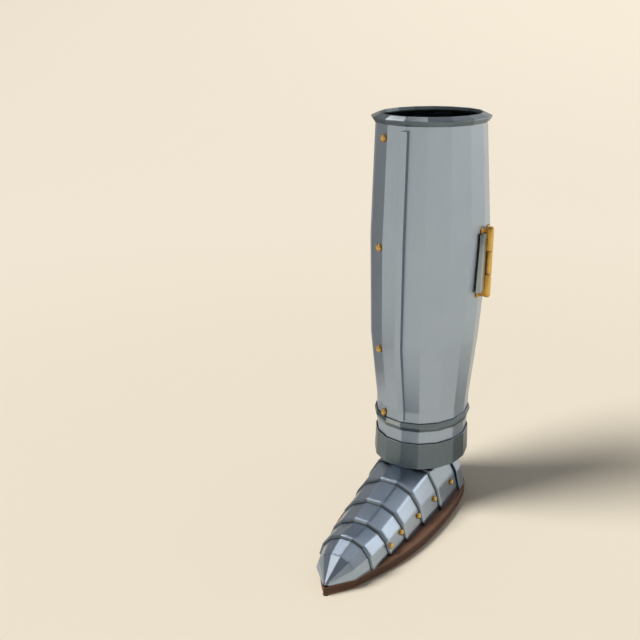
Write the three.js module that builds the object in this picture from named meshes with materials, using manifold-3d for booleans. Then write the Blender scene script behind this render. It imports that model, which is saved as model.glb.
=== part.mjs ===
// A steel greave for the wearer's left leg, standing on its steel sabaton and leather sole.
// Millimetres. The leg's axis is the Z axis and the ground is z = 0.
// The toe points along -Y, the outer side of the leg is +X and the inner side is -X.
import * as THREE from 'three';
import Module from 'manifold-3d';

const wasm = await Module();
wasm.setup();

// Sizes of the leg
const legHeight = 436;
const ankleHeight = 110;
const legHalfWidth = 61.3;
const legHalfDepth = 76.1;
const facetCount = 16;
const facetAngle = (2 * Math.PI) / facetCount;
const plateWall = 1.4;
const gap = 0.3;

// Sizes of the foot
const soleThickness = 10;
const toeReach = 232.5;
const heelReach = 58.5;
const soleOuterWidth = 54.5;
const soleInnerWidth = 49.5;
const sabatonHalfWidth = 46.4;
const instepHeight = 43.2;
const lameWall = 2;
const lameStep = 2.4;
const lameOverlap = 8;
const lameDip = 1;

// The leg's levels. Columns: height, then half width, half depth and centre along Y as
// shares of the leg's half width, half depth and half depth.
const legLevels = [
  { height: 0.717 * ankleHeight, width: 0.798, depth: 0.755, centre: 0.013 },
  { height: 0.908 * ankleHeight, width: 0.805, depth: 0.762, centre: 0.007 },
  { height: ankleHeight, width: 0.812, depth: 0.768, centre: 0 },
  { height: 1.11 * ankleHeight, width: 0.814, depth: 0.770, centre: 0 },
  { height: 0.4525 * legHeight, width: 0.925, depth: 0.912, centre: -0.026 },
  { height: 0.7005 * legHeight, width: 1, depth: 1, centre: 0.046 },
  { height: legHeight, width: 0.892, depth: 0.838, centre: -0.088 },
];

// Where the two plates meet, counted in facets from the middle of the shin.
const outerSplit = 4;
const innerSplit = -6;

// Upper and lower ends of the plates, just inside the roll and inside the cuff.
const plateTop = legHeight - 12.1;
const plateBottom = ankleHeight - 31;

// The raised ridge down the shin. Columns: height, and how far the ridge reaches forward of
// the axis as a share of the leg's half depth.
const ridgeHalfWidth = 3.5;
const ridgeLevels = [
  { height: 1.02 * ankleHeight, reach: 0.809 },
  { height: 1.11 * ankleHeight, reach: 0.809 },
  { height: 0.4525 * legHeight, reach: 1.003 },
  { height: 0.7005 * legHeight, reach: 1.029 },
  { height: legHeight - 16, reach: 0.998 },
];

// Sections of the rolls. Columns: distance out from the leg's surface and distance below the
// roll's upper end, both as shares of the roll's size.
const topRollSize = 10;
const topRollSection = [
  { out: -0.40, below: 0.24 },
  { out: -0.50, below: 0.70 },
  { out: -0.26, below: 1.18 },
  { out: 0.16, below: 1.18 },
  { out: 0.52, below: 0.65 },
];
const ankleRollSize = 10;
const ankleRollSection = [
  { out: 0.03, below: 0 },
  { out: 0.03, below: 0.97 },
  { out: 0.12, below: 0.97 },
  { out: 0.27, below: 0.48 },
  { out: 0.12, below: 0 },
];

// The cuff under the ankle, seated on the instep. Columns: height, and distance out from the
// leg's surface.
const cuffWall = 1.5;
const cuffLevels = [
  { height: ankleHeight - 24.5, out: cuffWall + 0.1 },
  { height: soleThickness + gap + 1.058 * instepHeight, out: cuffWall + 1.1 },
];

// Rivets with a domed head, a shank and a small inner head.
const shinRivet = { head: 4.1, dome: 3.7, shank: 1.3, burr: 2.3, burrDepth: 0.8 };
const lameRivet = { head: 3.2, dome: 3.0, shank: 1.1, burr: 2.0, burrDepth: 0.7 };
const shinRivetPlace = -1.24;
const shinRivetHeights = [
  legHeight - 25,
  0.69 * legHeight,
  0.4388 * legHeight,
  ankleHeight + 4.4,
];

// The hinge on the outer side.
const hingeAxisX = legHalfWidth + 4.4;
const hingeAxisY = 4.5;
const barrelRadius = 3.5;
const pinRadius = 1.3;
const pinHeadRadius = 2.5;
const pinHead = 0.8;
const barrelLength = 73.2;
const barrelBottom = 0.5624 * legHeight;
const barrelTop = barrelBottom + barrelLength;
const knuckleLow = barrelBottom + barrelLength / 3;
const knuckleHigh = barrelTop - barrelLength / 3;
const leafWall = 1;
const frontLeafReach = -8;
const rearLeafReach = 22;
const coverFace = legHalfWidth + 2.5;
const coverFront = -9;
const coverRear = 0;
const armFront = 0.3;
const armRear = 9.2;
const coverSlope = 0.5;
const coverBottom = barrelBottom + 5.8;
const coverTop = barrelTop - 4.4;

// The leather straps on the inner side, placed in facets from the middle of the shin.
const strapWall = 2.6;
const strapWidth = 18.6;
const strapFrontEnd = -4.8;
const strapFoldEnd = -5.66;
const strapRearEnd = -7.85;
const strapRivetPlace = -5.28;
const strapStudPlace = -7.5;
const upperStrapHeight = legHeight - 70;
const lowerStrapHeight = 0.4782 * legHeight;

// The sabaton's sections from the toe to the heel. Columns: place as a share of the toe's
// reach (minus is behind the leg's axis), then half of an arch of seven facets: the foot of
// the arch, its hip, shoulder and crown, sideways as shares of the sabaton's half width
// and upwards as shares of the instep's height.
const footSections = [
  {
    place: 0.995, foot: 0.022, hipX: 0.02, hipZ: 0.012,
    shoulderX: 0.014, shoulderZ: 0.022, crownX: 0.005, crownZ: 0.028,
  },
  {
    place: 0.893, foot: 0.475, hipX: 0.412, hipZ: 0.22,
    shoulderX: 0.292, shoulderZ: 0.395, crownX: 0.112, crownZ: 0.486,
  },
  {
    place: 0.803, foot: 0.605, hipX: 0.53, hipZ: 0.282,
    shoulderX: 0.378, shoulderZ: 0.486, crownX: 0.14, crownZ: 0.6,
  },
  {
    place: 0.67, foot: 0.705, hipX: 0.612, hipZ: 0.31,
    shoulderX: 0.44, shoulderZ: 0.509, crownX: 0.16, crownZ: 0.63,
  },
  {
    place: 0.535, foot: 0.797, hipX: 0.685, hipZ: 0.375,
    shoulderX: 0.496, shoulderZ: 0.622, crownX: 0.183, crownZ: 0.77,
  },
  {
    place: 0.38, foot: 0.877, hipX: 0.758, hipZ: 0.455,
    shoulderX: 0.552, shoulderZ: 0.77, crownX: 0.203, crownZ: 0.942,
  },
  {
    place: 0.209, foot: 0.955, hipX: 0.846, hipZ: 0.51,
    shoulderX: 0.618, shoulderZ: 0.94, crownX: 0.224, crownZ: 1.065,
  },
  {
    place: -0.015, foot: 1, hipX: 0.89, hipZ: 0.505,
    shoulderX: 0.662, shoulderZ: 0.938, crownX: 0.236, crownZ: 1.03,
  },
  {
    place: -0.06, foot: 1.01, hipX: 0.9, hipZ: 0.505,
    shoulderX: 0.67, shoulderZ: 0.938, crownX: 0.239, crownZ: 1,
  },
];

// Front edges of the five lames and of the heel plate, as shares of the toe's reach.
const lameFronts = [0.803, 0.670, 0.535, 0.380, 0.209, -0.015];

// The ankle's opening in the sabaton's top.
const throatHalfWidth = 31;
const throatFront = -40;
const throatRear = 44;

// The heel plate's rings round the back of the foot. Columns: share of the sabaton's half
// width, and share of the heel's reach, from the side to the back.
const heelPlan = [
  { side: 1, back: 0.06 },
  { side: 0.985, back: 0.33 },
  { side: 0.80, back: 0.62 },
  { side: 0.55, back: 0.83 },
  { side: 0.22, back: 0.965 },
  { side: 0, back: 0.985 },
];

// The heel plate's levels: height above the sole, then how far in the ring is drawn
// sideways and lengthways as shares of the plan.
const heelLevels = [
  { height: 0, side: 1.057, back: 0.985 },
  { height: 0.505, side: 0.957, back: 0.975 },
  { height: 0.938, side: 0.725, back: 0.90 },
  { height: 1.05, side: 0.667, back: 0.86 },
];

// The sole's outline. Columns: place along Y (forward as a share of the toe's reach), and
// distance from the middle line as a share of the sole's width on the outer or inner side.
const soleOutline = [
  { place: 0.955, half: 0.165 },
  { place: 0.905, half: 0.325 },
  { place: 0.860, half: 0.42 },
  { place: 0.785, half: 0.55 },
  { place: 0.697, half: 0.70 },
  { place: 0.603, half: 0.815 },
  { place: 0.491, half: 0.91 },
  { place: 0.363, half: 0.97 },
  { place: 0.214, half: 1 },
  { place: 0.043, half: 0.98 },
  { place: -0.085, half: 0.905 },
  { place: -0.158, half: 0.76 },
  { place: -0.212, half: 0.53 },
  { place: -0.243, half: 0.24 },
];

// The lames' rivets on the outer side. Columns: place as a share of the toe's reach, height
// over the arch's foot as a share of the instep's height, the lame under the rivet's head, the
// lame tucked under that one where the rivet holds both, and the thickness of what it holds.
const lameRivets = [
  { place: 0.6546, height: 0.226, lame: 2, tucked: 1, wall: 2.75 * lameWall },
  { place: 0.5501, height: 0.28, lame: 2, tucked: 0, wall: lameWall },
  { place: 0.3961, height: 0.306, lame: 3, tucked: 0, wall: lameWall },
  { place: 0.24, height: 0.373, lame: 4, tucked: 0, wall: lameWall },
  { place: 0.0538, height: 0.38, lame: 5, tucked: 0, wall: lameWall },
];

// Materials
function makeMaterial(name, color, roughness, metalness) {
  return () => new THREE.MeshStandardMaterial({ name, color, roughness, metalness });
}

const steel = makeMaterial('steel', 0x9aa1a3, 0.42, 0.85);
const darkSteel = makeMaterial('dark_steel', 0x5c6367, 0.45, 0.85);
const brass = makeMaterial('brass', 0xd19c3c, 0.38, 0.9);
const soleLeather = makeMaterial('sole_leather', 0x6b4030, 0.8, 0);
const strapLeather = makeMaterial('strap_leather', 0x44301f, 0.75, 0);

// A value read from a table of rows that rise or fall steadily in the key column.
function readTable(rows, key, at, column) {
  const rising = rows[rows.length - 1][key] > rows[0][key];
  const ordered = rising ? rows : [...rows].reverse();
  const last = ordered.length - 1;
  if (at <= ordered[0][key]) return ordered[0][column];
  if (at >= ordered[last][key]) return ordered[last][column];
  let i = 0;
  while (ordered[i + 1][key] < at) i += 1;
  const share = (at - ordered[i][key]) / (ordered[i + 1][key] - ordered[i][key]);
  return ordered[i][column] + share * (ordered[i + 1][column] - ordered[i][column]);
}

// A corner of the leg's sixteen-sided section at one height, moved out by a distance.
function legCorner(height, facet, out) {
  const halfWidth = legHalfWidth * readTable(legLevels, 'height', height, 'width') + out;
  const halfDepth = legHalfDepth * readTable(legLevels, 'height', height, 'depth') + out;
  const centre = legHalfDepth * readTable(legLevels, 'height', height, 'centre');
  const angle = facet * facetAngle;
  return new THREE.Vector3(halfWidth * Math.sin(angle), centre - halfDepth * Math.cos(angle), height);
}

// A point of the leg's surface; a place between two corners lies on the flat facet.
function legPoint(height, place, out) {
  const facet = Math.floor(place + 1e-9);
  const share = place - facet;
  const start = legCorner(height, facet, out);
  if (share < 1e-9) return start;
  return start.lerp(legCorner(height, facet + 1, out), share);
}

// The direction straight out of the leg's facet at a place.
function legNormal(height, place) {
  const facet = Math.floor(place + 1e-9);
  const along = legCorner(height, facet + 1, 0).sub(legCorner(height, facet, 0));
  const up = legPoint(height + 1, place, 0).sub(legPoint(height - 1, place, 0));
  return along.cross(up).normalize();
}

// The seat of a rivet on the leg's surface
function legSeat(height, place) {
  return { point: legPoint(height, place, 0), normal: legNormal(height, place) };
}

// A place shifted along its facet by a distance, used for the gaps between the plates.
function shiftPlace(place, distance) {
  const facet = Math.floor(place + 1e-9);
  const start = legCorner(legHeight / 2, facet, 0);
  const length = start.distanceTo(legCorner(legHeight / 2, facet + 1, 0));
  return place + distance / length;
}

// Corners of the leg's section from one place to another, with both ends.
function placesBetween(from, to) {
  const places = [from];
  for (let k = Math.ceil(from + 1e-6); k < to - 1e-6; k += 1) places.push(k);
  places.push(to);
  return places;
}

// Heights of the leg's levels from one height to another, with both ends.
function heightsBetween(from, to) {
  const heights = legLevels.map((row) => row.height);
  const inside = heights.filter((height) => height > from + 0.5 && height < to - 0.5);
  return [from, ...inside, to];
}

const frontStart = shiftPlace(innerSplit, gap / 2);
const frontEnd = shiftPlace(outerSplit, -gap / 2);
const calfStart = shiftPlace(outerSplit, gap / 2);
const calfEnd = shiftPlace(innerSplit + facetCount, -gap / 2);
const frontPlaces = placesBetween(frontStart, frontEnd);
const calfPlaces = placesBetween(calfStart, calfEnd);

// A closed body from a list of triangles, each of three points.
function bodyFromTriangles(triangles) {
  let volume = 0;
  for (const [a, b, c] of triangles) volume += a.dot(b.clone().cross(c));
  const positions = [];
  for (const triangle of triangles) {
    const [a, b, c] = triangle;
    const ordered = volume > 0 ? [a, b, c] : [a, c, b];
    for (const point of ordered) positions.push(point.x, point.y, point.z);
  }
  const geometry = new THREE.BufferGeometry();
  geometry.setAttribute('position', new THREE.Float32BufferAttribute(positions, 3));
  geometry.computeVertexNormals();
  return geometry;
}

function addQuad(triangles, a, b, c, d) {
  triangles.push([a, b, c]);
  triangles.push([a, c, d]);
}

// A bent sheet between an outer and an inner grid of points, with all four edges closed.
function sheet(outer, inner) {
  const rows = outer.length;
  const columns = outer[0].length;
  const triangles = [];
  for (let i = 0; i < rows - 1; i += 1) {
    for (let j = 0; j < columns - 1; j += 1) {
      addQuad(triangles, outer[i][j], outer[i][j + 1], outer[i + 1][j + 1], outer[i + 1][j]);
      addQuad(triangles, inner[i][j], inner[i + 1][j], inner[i + 1][j + 1], inner[i][j + 1]);
    }
    const last = columns - 1;
    addQuad(triangles, inner[i][0], outer[i][0], outer[i + 1][0], inner[i + 1][0]);
    addQuad(triangles, outer[i][last], inner[i][last], inner[i + 1][last], outer[i + 1][last]);
  }
  const end = rows - 1;
  for (let j = 0; j < columns - 1; j += 1) {
    addQuad(triangles, outer[0][j + 1], outer[0][j], inner[0][j], inner[0][j + 1]);
    addQuad(triangles, outer[end][j], outer[end][j + 1], inner[end][j + 1], inner[end][j]);
  }
  return bodyFromTriangles(triangles);
}

// A body lofted through rings of equal count, each end closed by a fan from its first point.
function loft(rings) {
  const count = rings[0].length;
  const triangles = [];
  for (let i = 0; i < rings.length - 1; i += 1) {
    for (let j = 0; j < count; j += 1) {
      const next = (j + 1) % count;
      addQuad(triangles, rings[i][j], rings[i][next], rings[i + 1][next], rings[i + 1][j]);
    }
  }
  const end = rings.length - 1;
  for (let j = 1; j < count - 1; j += 1) {
    triangles.push([rings[0][0], rings[0][j + 1], rings[0][j]]);
    triangles.push([rings[end][0], rings[end][j], rings[end][j + 1]]);
  }
  return bodyFromTriangles(triangles);
}

// The same body as an indexed solid for adding and cutting.
function toSolid(geometry) {
  const source = geometry.index ? geometry.toNonIndexed() : geometry;
  const position = source.getAttribute('position');
  const vertices = [];
  const corners = [];
  const known = new Map();
  for (let i = 0; i < position.count; i += 1) {
    const point = [position.getX(i), position.getY(i), position.getZ(i)];
    const key = point.map((value) => Math.round(value * 10000)).join(' ');
    if (!known.has(key)) {
      known.set(key, vertices.length / 3);
      vertices.push(...point);
    }
    corners.push(known.get(key));
  }
  const kept = [];
  for (let i = 0; i < corners.length; i += 3) {
    const [a, b, c] = corners.slice(i, i + 3);
    if (a !== b && b !== c && c !== a) kept.push(a, b, c);
  }
  const mesh = new wasm.Mesh({
    numProp: 3,
    vertProperties: new Float32Array(vertices),
    triVerts: new Uint32Array(kept),
  });
  return new wasm.Manifold(mesh);
}

function fromSolid(solid) {
  const mesh = solid.getMesh();
  const positions = [];
  for (const corner of mesh.triVerts) {
    const start = corner * mesh.numProp;
    positions.push(...mesh.vertProperties.slice(start, start + 3));
  }
  const geometry = new THREE.BufferGeometry();
  geometry.setAttribute('position', new THREE.Float32BufferAttribute(positions, 3));
  geometry.computeVertexNormals();
  return geometry;
}

// A straight box between two corners.
function boxSolid(low, high) {
  const size = high.clone().sub(low);
  const geometry = new THREE.BoxGeometry(size.x, size.y, size.z);
  geometry.translate((low.x + high.x) / 2, (low.y + high.y) / 2, (low.z + high.z) / 2);
  return toSolid(geometry);
}

// An upright cylinder between two heights.
function postSolid(x, y, radius, bottom, top, sides) {
  const geometry = new THREE.CylinderGeometry(radius, radius, top - bottom, sides);
  geometry.rotateX(Math.PI / 2);
  geometry.translate(x, y, (bottom + top) / 2);
  return toSolid(geometry);
}

// The whole leg as a closed body, moved out by a distance, between two heights.
function legSolid(out, bottom, top) {
  const rings = heightsBetween(bottom, top).map((height) => {
    const ring = [];
    for (let k = 0; k < facetCount; k += 1) ring.push(legCorner(height, k, out));
    return ring;
  });
  return toSolid(loft(rings));
}

// A wall of the leg between two lists of places and heights.
function legWall(places, heights, outer, inner) {
  const outerGrid = heights.map((height) => places.map((place) => legPoint(height, place, outer)));
  const innerGrid = heights.map((height) => places.map((place) => legPoint(height, place, inner)));
  return sheet(outerGrid, innerGrid);
}

// A roll of a closed section carried along the leg between its places, under a height.
function legRoll(places, section, size, top) {
  const corner = (place, row) => legPoint(top - row.below * size, place, row.out * size);
  return loft(places.map((place) => section.map((row) => corner(place, row))));
}

// A rivet along +Z: its head stands on z = 0 and its inner head is behind the wall.
function rivetGeometry(shape, wall) {
  const back = -(wall + 2 * gap);
  const profile = [
    [0, back - shape.burrDepth],
    [shape.burr, back - shape.burrDepth],
    [shape.burr, back],
    [shape.shank, back],
    [shape.shank, 0],
    [shape.head, 0],
    [shape.head * 0.94, shape.dome * 0.42],
    [shape.head * 0.66, shape.dome * 0.82],
    [0, shape.dome],
  ];
  const geometry = new THREE.LatheGeometry(profile.map(([r, h]) => new THREE.Vector2(r, h)), 10);
  geometry.rotateX(Math.PI / 2);
  return geometry;
}

// The hole that a rivet's shank passes through, as a body.
function rivetHole(shape, wall, point, normal) {
  const length = wall + 8;
  const geometry = new THREE.CylinderGeometry(shape.shank + gap, shape.shank + gap, length, 10);
  geometry.rotateX(Math.PI / 2);
  const turn = new THREE.Quaternion().setFromUnitVectors(new THREE.Vector3(0, 0, 1), normal);
  geometry.applyQuaternion(turn);
  geometry.translate(point.x, point.y, point.z);
  return toSolid(geometry);
}

const group = new THREE.Group();
group.name = 'greave_with_sabaton';

function addPiece(parent, name, geometry, material) {
  const mesh = new THREE.Mesh(geometry, material());
  mesh.name = name;
  parent.add(mesh);
  return mesh;
}

// Puts a rivet on a surface point with its head a gap clear of the surface.
function addRivet(parent, name, shape, wall, point, normal) {
  const mesh = addPiece(parent, name, rivetGeometry(shape, wall), brass);
  mesh.position.copy(point).addScaledVector(normal, gap);
  mesh.quaternion.setFromUnitVectors(new THREE.Vector3(0, 0, 1), normal);
  return mesh;
}

const greave = new THREE.Group();
greave.name = 'greave';
group.add(greave);
const sabaton = new THREE.Group();
sabaton.name = 'sabaton';
group.add(sabaton);

// Places of the rivets on the leg
const shinRivetSeats = shinRivetHeights.map((height) => legSeat(height, shinRivetPlace));

const straps = [
  { name: 'strap_upper', height: upperStrapHeight, folded: true },
  { name: 'strap_lower', height: lowerStrapHeight, folded: false },
];
for (const strap of straps) {
  strap.rivet = legSeat(strap.height, strapRivetPlace);
  strap.stud = legSeat(strap.height, strapStudPlace);
}

// Front plate with its ridge
const plateHeights = heightsBetween(plateBottom, plateTop);
let frontPlate = toSolid(legWall(frontPlaces, plateHeights, 0, -plateWall));
const ridgeRings = ridgeLevels.map((row) => {
  const front = -row.reach * legHalfDepth;
  const root = legPoint(row.height, 0, -plateWall / 2).y;
  return [
    new THREE.Vector3(-ridgeHalfWidth, root, row.height),
    new THREE.Vector3(-ridgeHalfWidth, front, row.height),
    new THREE.Vector3(ridgeHalfWidth, front, row.height),
    new THREE.Vector3(ridgeHalfWidth, root, row.height),
  ];
});
frontPlate = frontPlate.add(toSolid(loft(ridgeRings)));
for (const seat of shinRivetSeats) {
  frontPlate = frontPlate.subtract(rivetHole(shinRivet, plateWall, seat.point, seat.normal));
}
for (const strap of straps) {
  const { point, normal } = strap.rivet;
  frontPlate = frontPlate.subtract(rivetHole(lameRivet, plateWall, point, normal));
}
addPiece(greave, 'front_plate', fromSolid(frontPlate), steel);

// Calf plate
let calfPlate = toSolid(legWall(calfPlaces, plateHeights, 0, -plateWall));
for (const strap of straps) {
  const { point, normal } = strap.stud;
  calfPlate = calfPlate.subtract(rivetHole(lameRivet, plateWall, point, normal));
}
addPiece(greave, 'calf_plate', fromSolid(calfPlate), steel);

// Rolls and cuff, each in a front and a rear length
const topRoll = (places) => legRoll(places, topRollSection, topRollSize, legHeight);
const ankleRoll = (places) => legRoll(places, ankleRollSection, ankleRollSize, ankleHeight);
addPiece(greave, 'top_roll_front', topRoll(frontPlaces), darkSteel);
addPiece(greave, 'top_roll_calf', topRoll(calfPlaces), darkSteel);
addPiece(greave, 'ankle_roll_front', ankleRoll(frontPlaces), darkSteel);
addPiece(greave, 'ankle_roll_calf', ankleRoll(calfPlaces), darkSteel);

function cuffWallGeometry(places) {
  const ring = (row, out) => places.map((place) => legPoint(row.height, place, out));
  const outer = cuffLevels.map((row) => ring(row, row.out));
  const inner = cuffLevels.map((row) => ring(row, row.out - cuffWall));
  return sheet(outer, inner);
}
addPiece(greave, 'cuff_front', cuffWallGeometry(frontPlaces), darkSteel);
addPiece(greave, 'cuff_calf', cuffWallGeometry(calfPlaces), darkSteel);

// Rivets beside the ridge
shinRivetSeats.forEach((seat, i) => {
  addRivet(greave, `shin_rivet_${i + 1}`, shinRivet, plateWall, seat.point, seat.normal);
});

// Hinge
const knuckleBands = {
  low: [barrelBottom, knuckleLow - gap],
  middle: [knuckleLow, knuckleHigh],
  high: [knuckleHigh + gap, barrelTop],
};
const clearOfLeg = legSolid(gap, barrelBottom - 4, barrelTop + 4);
const leafSkin = legSolid(gap + leafWall, barrelBottom, barrelTop).subtract(clearOfLeg);
const pinHole = postSolid(hingeAxisX, hingeAxisY, pinRadius + gap, barrelBottom - 1, barrelTop + 1, 10);

function knuckle([bottom, top], armFrom, armTo) {
  const barrel = postSolid(hingeAxisX, hingeAxisY, barrelRadius, bottom, top, 12);
  const armLow = new THREE.Vector3(hingeAxisX - barrelRadius - 3, armFrom, bottom);
  const armHigh = new THREE.Vector3(hingeAxisX - 0.9, armTo, top);
  return barrel.add(boxSolid(armLow, armHigh));
}

const frontLeafArea = boxSolid(
  new THREE.Vector3(40, frontLeafReach, barrelBottom),
  new THREE.Vector3(80, hingeAxisY - barrelRadius - gap, barrelTop),
);
let frontLeaf = leafSkin.intersect(frontLeafArea);
frontLeaf = frontLeaf.add(knuckle(knuckleBands.low, armFront, hingeAxisY));
frontLeaf = frontLeaf.add(knuckle(knuckleBands.high, armFront, hingeAxisY));
frontLeaf = frontLeaf.subtract(clearOfLeg).subtract(pinHole);
addPiece(greave, 'hinge_front_leaf', fromSolid(frontLeaf), brass);

const rearLeafArea = boxSolid(
  new THREE.Vector3(40, hingeAxisY + barrelRadius + gap, barrelBottom),
  new THREE.Vector3(80, rearLeafReach, barrelTop),
);
let rearLeaf = leafSkin.intersect(rearLeafArea);
rearLeaf = rearLeaf.add(knuckle(knuckleBands.middle, hingeAxisY, armRear));
rearLeaf = rearLeaf.subtract(clearOfLeg).subtract(pinHole);
addPiece(greave, 'hinge_rear_leaf', fromSolid(rearLeaf), brass);

const pinProfile = [
  [0, barrelBottom - gap - pinHead],
  [pinHeadRadius, barrelBottom - gap - pinHead],
  [pinHeadRadius, barrelBottom - gap],
  [pinRadius, barrelBottom - gap],
  [pinRadius, barrelTop + gap],
  [pinHeadRadius, barrelTop + gap],
  [pinHeadRadius, barrelTop + gap + pinHead],
  [0, barrelTop + gap + pinHead],
];
const pinGeometry = new THREE.LatheGeometry(pinProfile.map(([r, h]) => new THREE.Vector2(r, h)), 10);
pinGeometry.rotateX(Math.PI / 2);
const hingePin = addPiece(greave, 'hinge_pin', pinGeometry, brass);
hingePin.position.set(hingeAxisX, hingeAxisY, 0);

// The dark block over the front leaf: a straight outer face, a sloping front edge and
// a back that follows the plate and the leaf.
const coverDepth = 14;
const coverOutline = [
  [coverFace, coverFront],
  [coverFace, coverRear],
  [coverFace - coverDepth, coverRear],
  [coverFace - coverDepth, coverFront - coverSlope * coverDepth],
];
const coverRings = [coverBottom, coverTop].map((height) =>
  coverOutline.map(([x, y]) => new THREE.Vector3(x, y, height)));
const clearOfLeaf = legSolid(2 * gap + leafWall, barrelBottom, barrelTop).intersect(boxSolid(
  new THREE.Vector3(40, frontLeafReach - gap, barrelBottom),
  new THREE.Vector3(80, armFront, barrelTop),
));
const cover = toSolid(loft(coverRings)).subtract(clearOfLeg).subtract(clearOfLeaf);
addPiece(greave, 'hinge_cover', fromSolid(cover), darkSteel);

// Straps: riveted to the front plate, passed over the split and buttoned on a stud
for (const strap of straps) {
  const low = strap.height - strapWidth / 2;
  const high = strap.height + strapWidth / 2;
  const foldEnd = strap.folded ? [strapFoldEnd, strapFoldEnd - 0.03] : [strapFoldEnd - 0.03];
  const places = [strapRearEnd, -7, innerSplit, ...foldEnd.reverse(), -5, strapFrontEnd];
  const row = (height, outAt) => places.map((place) => legPoint(height, place, outAt(place)));
  const grid = (outAt) => [low, high].map((height) => row(height, outAt));
  const doubled = (place) => strap.folded && place >= strapFoldEnd - 1e-6;
  const outer = grid((place) => gap + strapWall * (doubled(place) ? 2 : 1));
  const inner = grid(() => gap);
  let band = toSolid(sheet(outer, inner));
  band = band.subtract(rivetHole(lameRivet, 14, strap.rivet.point, strap.rivet.normal));
  band = band.subtract(rivetHole(lameRivet, 14, strap.stud.point, strap.stud.normal));
  addPiece(greave, strap.name, fromSolid(band), strapLeather);
  const frontStack = gap + strapWall * (strap.folded ? 2 : 1);
  const rearStack = gap + strapWall;
  for (const [ending, seat, stack] of [
    ['rivet', strap.rivet, frontStack],
    ['stud', strap.stud, rearStack],
  ]) {
    const point = seat.point.clone().addScaledVector(seat.normal, stack);
    addRivet(greave, `${strap.name}_${ending}`, lameRivet, plateWall + stack, point, seat.normal);
  }
}

// One arch of the sabaton at a place along Y, moved out by a distance.
function footArch(y, out) {
  const share = -y / toeReach;
  const value = (column) => readTable(footSections, 'place', share, column);
  const foot = value('foot') * sabatonHalfWidth;
  const crownZ = value('crownZ') * instepHeight;
  const half = [
    [foot, 0],
    [value('hipX') * sabatonHalfWidth, value('hipZ') * instepHeight],
    [value('shoulderX') * sabatonHalfWidth, value('shoulderZ') * instepHeight],
    [value('crownX') * sabatonHalfWidth, crownZ],
  ];
  const moved = half.map(([x, z]) => [x + (out * x) / foot, z + (out * z) / crownZ]);
  const base = soleThickness + gap;
  const right = moved.map(([x, z]) => new THREE.Vector3(x, y, base + z));
  const left = [...moved].reverse().map(([x, z]) => new THREE.Vector3(-x, y, base + z));
  return [...right, ...left];
}

// Toe cap: a pointed shell, open below and behind
const capRear = -lameFronts[0] * toeReach + lameOverlap;
const capSections = footSections.filter((row) => row.place > lameFronts[0] - 0.001);
const capOuter = capSections.map((row) => footArch(-row.place * toeReach, 0));
capOuter.push(footArch(capRear, -lameDip));
const capInnerFront = -0.965 * toeReach;
const capInnerPlaces = [capInnerFront, -footSections[1].place * toeReach, -lameFronts[0] * toeReach];
const capInner = capInnerPlaces.map((y) => footArch(y, -lameWall));
capInner.push(footArch(capRear + 1, -lameDip - lameWall));
const capCut = capInner.map((arch) => {
  const lowered = arch.map((point) => point.clone());
  lowered[0].z -= 1;
  lowered[lowered.length - 1].z -= 1;
  return lowered;
});
const toeCap = toSolid(loft(capOuter)).subtract(toSolid(loft(capCut)));
addPiece(sabaton, 'toe_cap', fromSolid(toeCap), steel);

// The ankle's opening as an upright body
const throatRing = (height) => {
  const middle = (throatFront + throatRear) / 2;
  const halfLength = (throatRear - throatFront) / 2;
  const ring = [];
  for (let k = 0; k < facetCount; k += 1) {
    const angle = k * facetAngle;
    const x = throatHalfWidth * Math.sin(angle);
    ring.push(new THREE.Vector3(x, middle - halfLength * Math.cos(angle), height));
  }
  return ring;
};
const throat = toSolid(loft([throatRing(soleThickness + 12), throatRing(soleThickness + 80)]));

// The seat of a rivet on a lame's outer side facet.
function lameSeat(rivet) {
  const front = -lameFronts[rivet.lame - 1] * toeReach;
  const rear = -lameFronts[rivet.lame] * toeReach;
  const corner = (y, index) => footArch(y, (lameStep * (rear - y)) / (rear - front))[index];
  const foot = corner(-rivet.place * toeReach, 0);
  const hip = corner(-rivet.place * toeReach, 1);
  const share = (rivet.height * instepHeight) / (hip.z - foot.z);
  const point = foot.clone().lerp(hip, share);
  const along = corner(rear, 1).sub(corner(front, 1));
  const normal = along.cross(hip.clone().sub(foot)).normalize();
  if (normal.x < 0) normal.negate();
  return { point, normal };
}

// Lames: each starts a step above the one in front of it and dips under the one behind
for (let i = 0; i < 5; i += 1) {
  const front = -lameFronts[i] * toeReach;
  const rear = -lameFronts[i + 1] * toeReach;
  const stations = [
    { y: front, out: lameStep },
    { y: rear, out: 0 },
    { y: rear + lameOverlap, out: -lameDip },
  ];
  const outer = stations.map((row) => footArch(row.y, row.out));
  const inner = stations.map((row) => footArch(row.y, row.out - lameWall));
  let lame = toSolid(sheet(outer, inner));
  if (i === 4) lame = lame.subtract(throat);
  for (const rivet of lameRivets.filter((row) => row.lame === i + 1 || row.tucked === i + 1)) {
    const seat = lameSeat(rivet);
    lame = lame.subtract(rivetHole(lameRivet, rivet.wall, seat.point, seat.normal));
  }
  addPiece(sabaton, `lame_${i + 1}`, fromSolid(lame), steel);
}

lameRivets.forEach((rivet, i) => {
  const seat = lameSeat(rivet);
  addRivet(sabaton, `lame_rivet_${i + 1}`, lameRivet, rivet.wall, seat.point, seat.normal);
});

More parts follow.
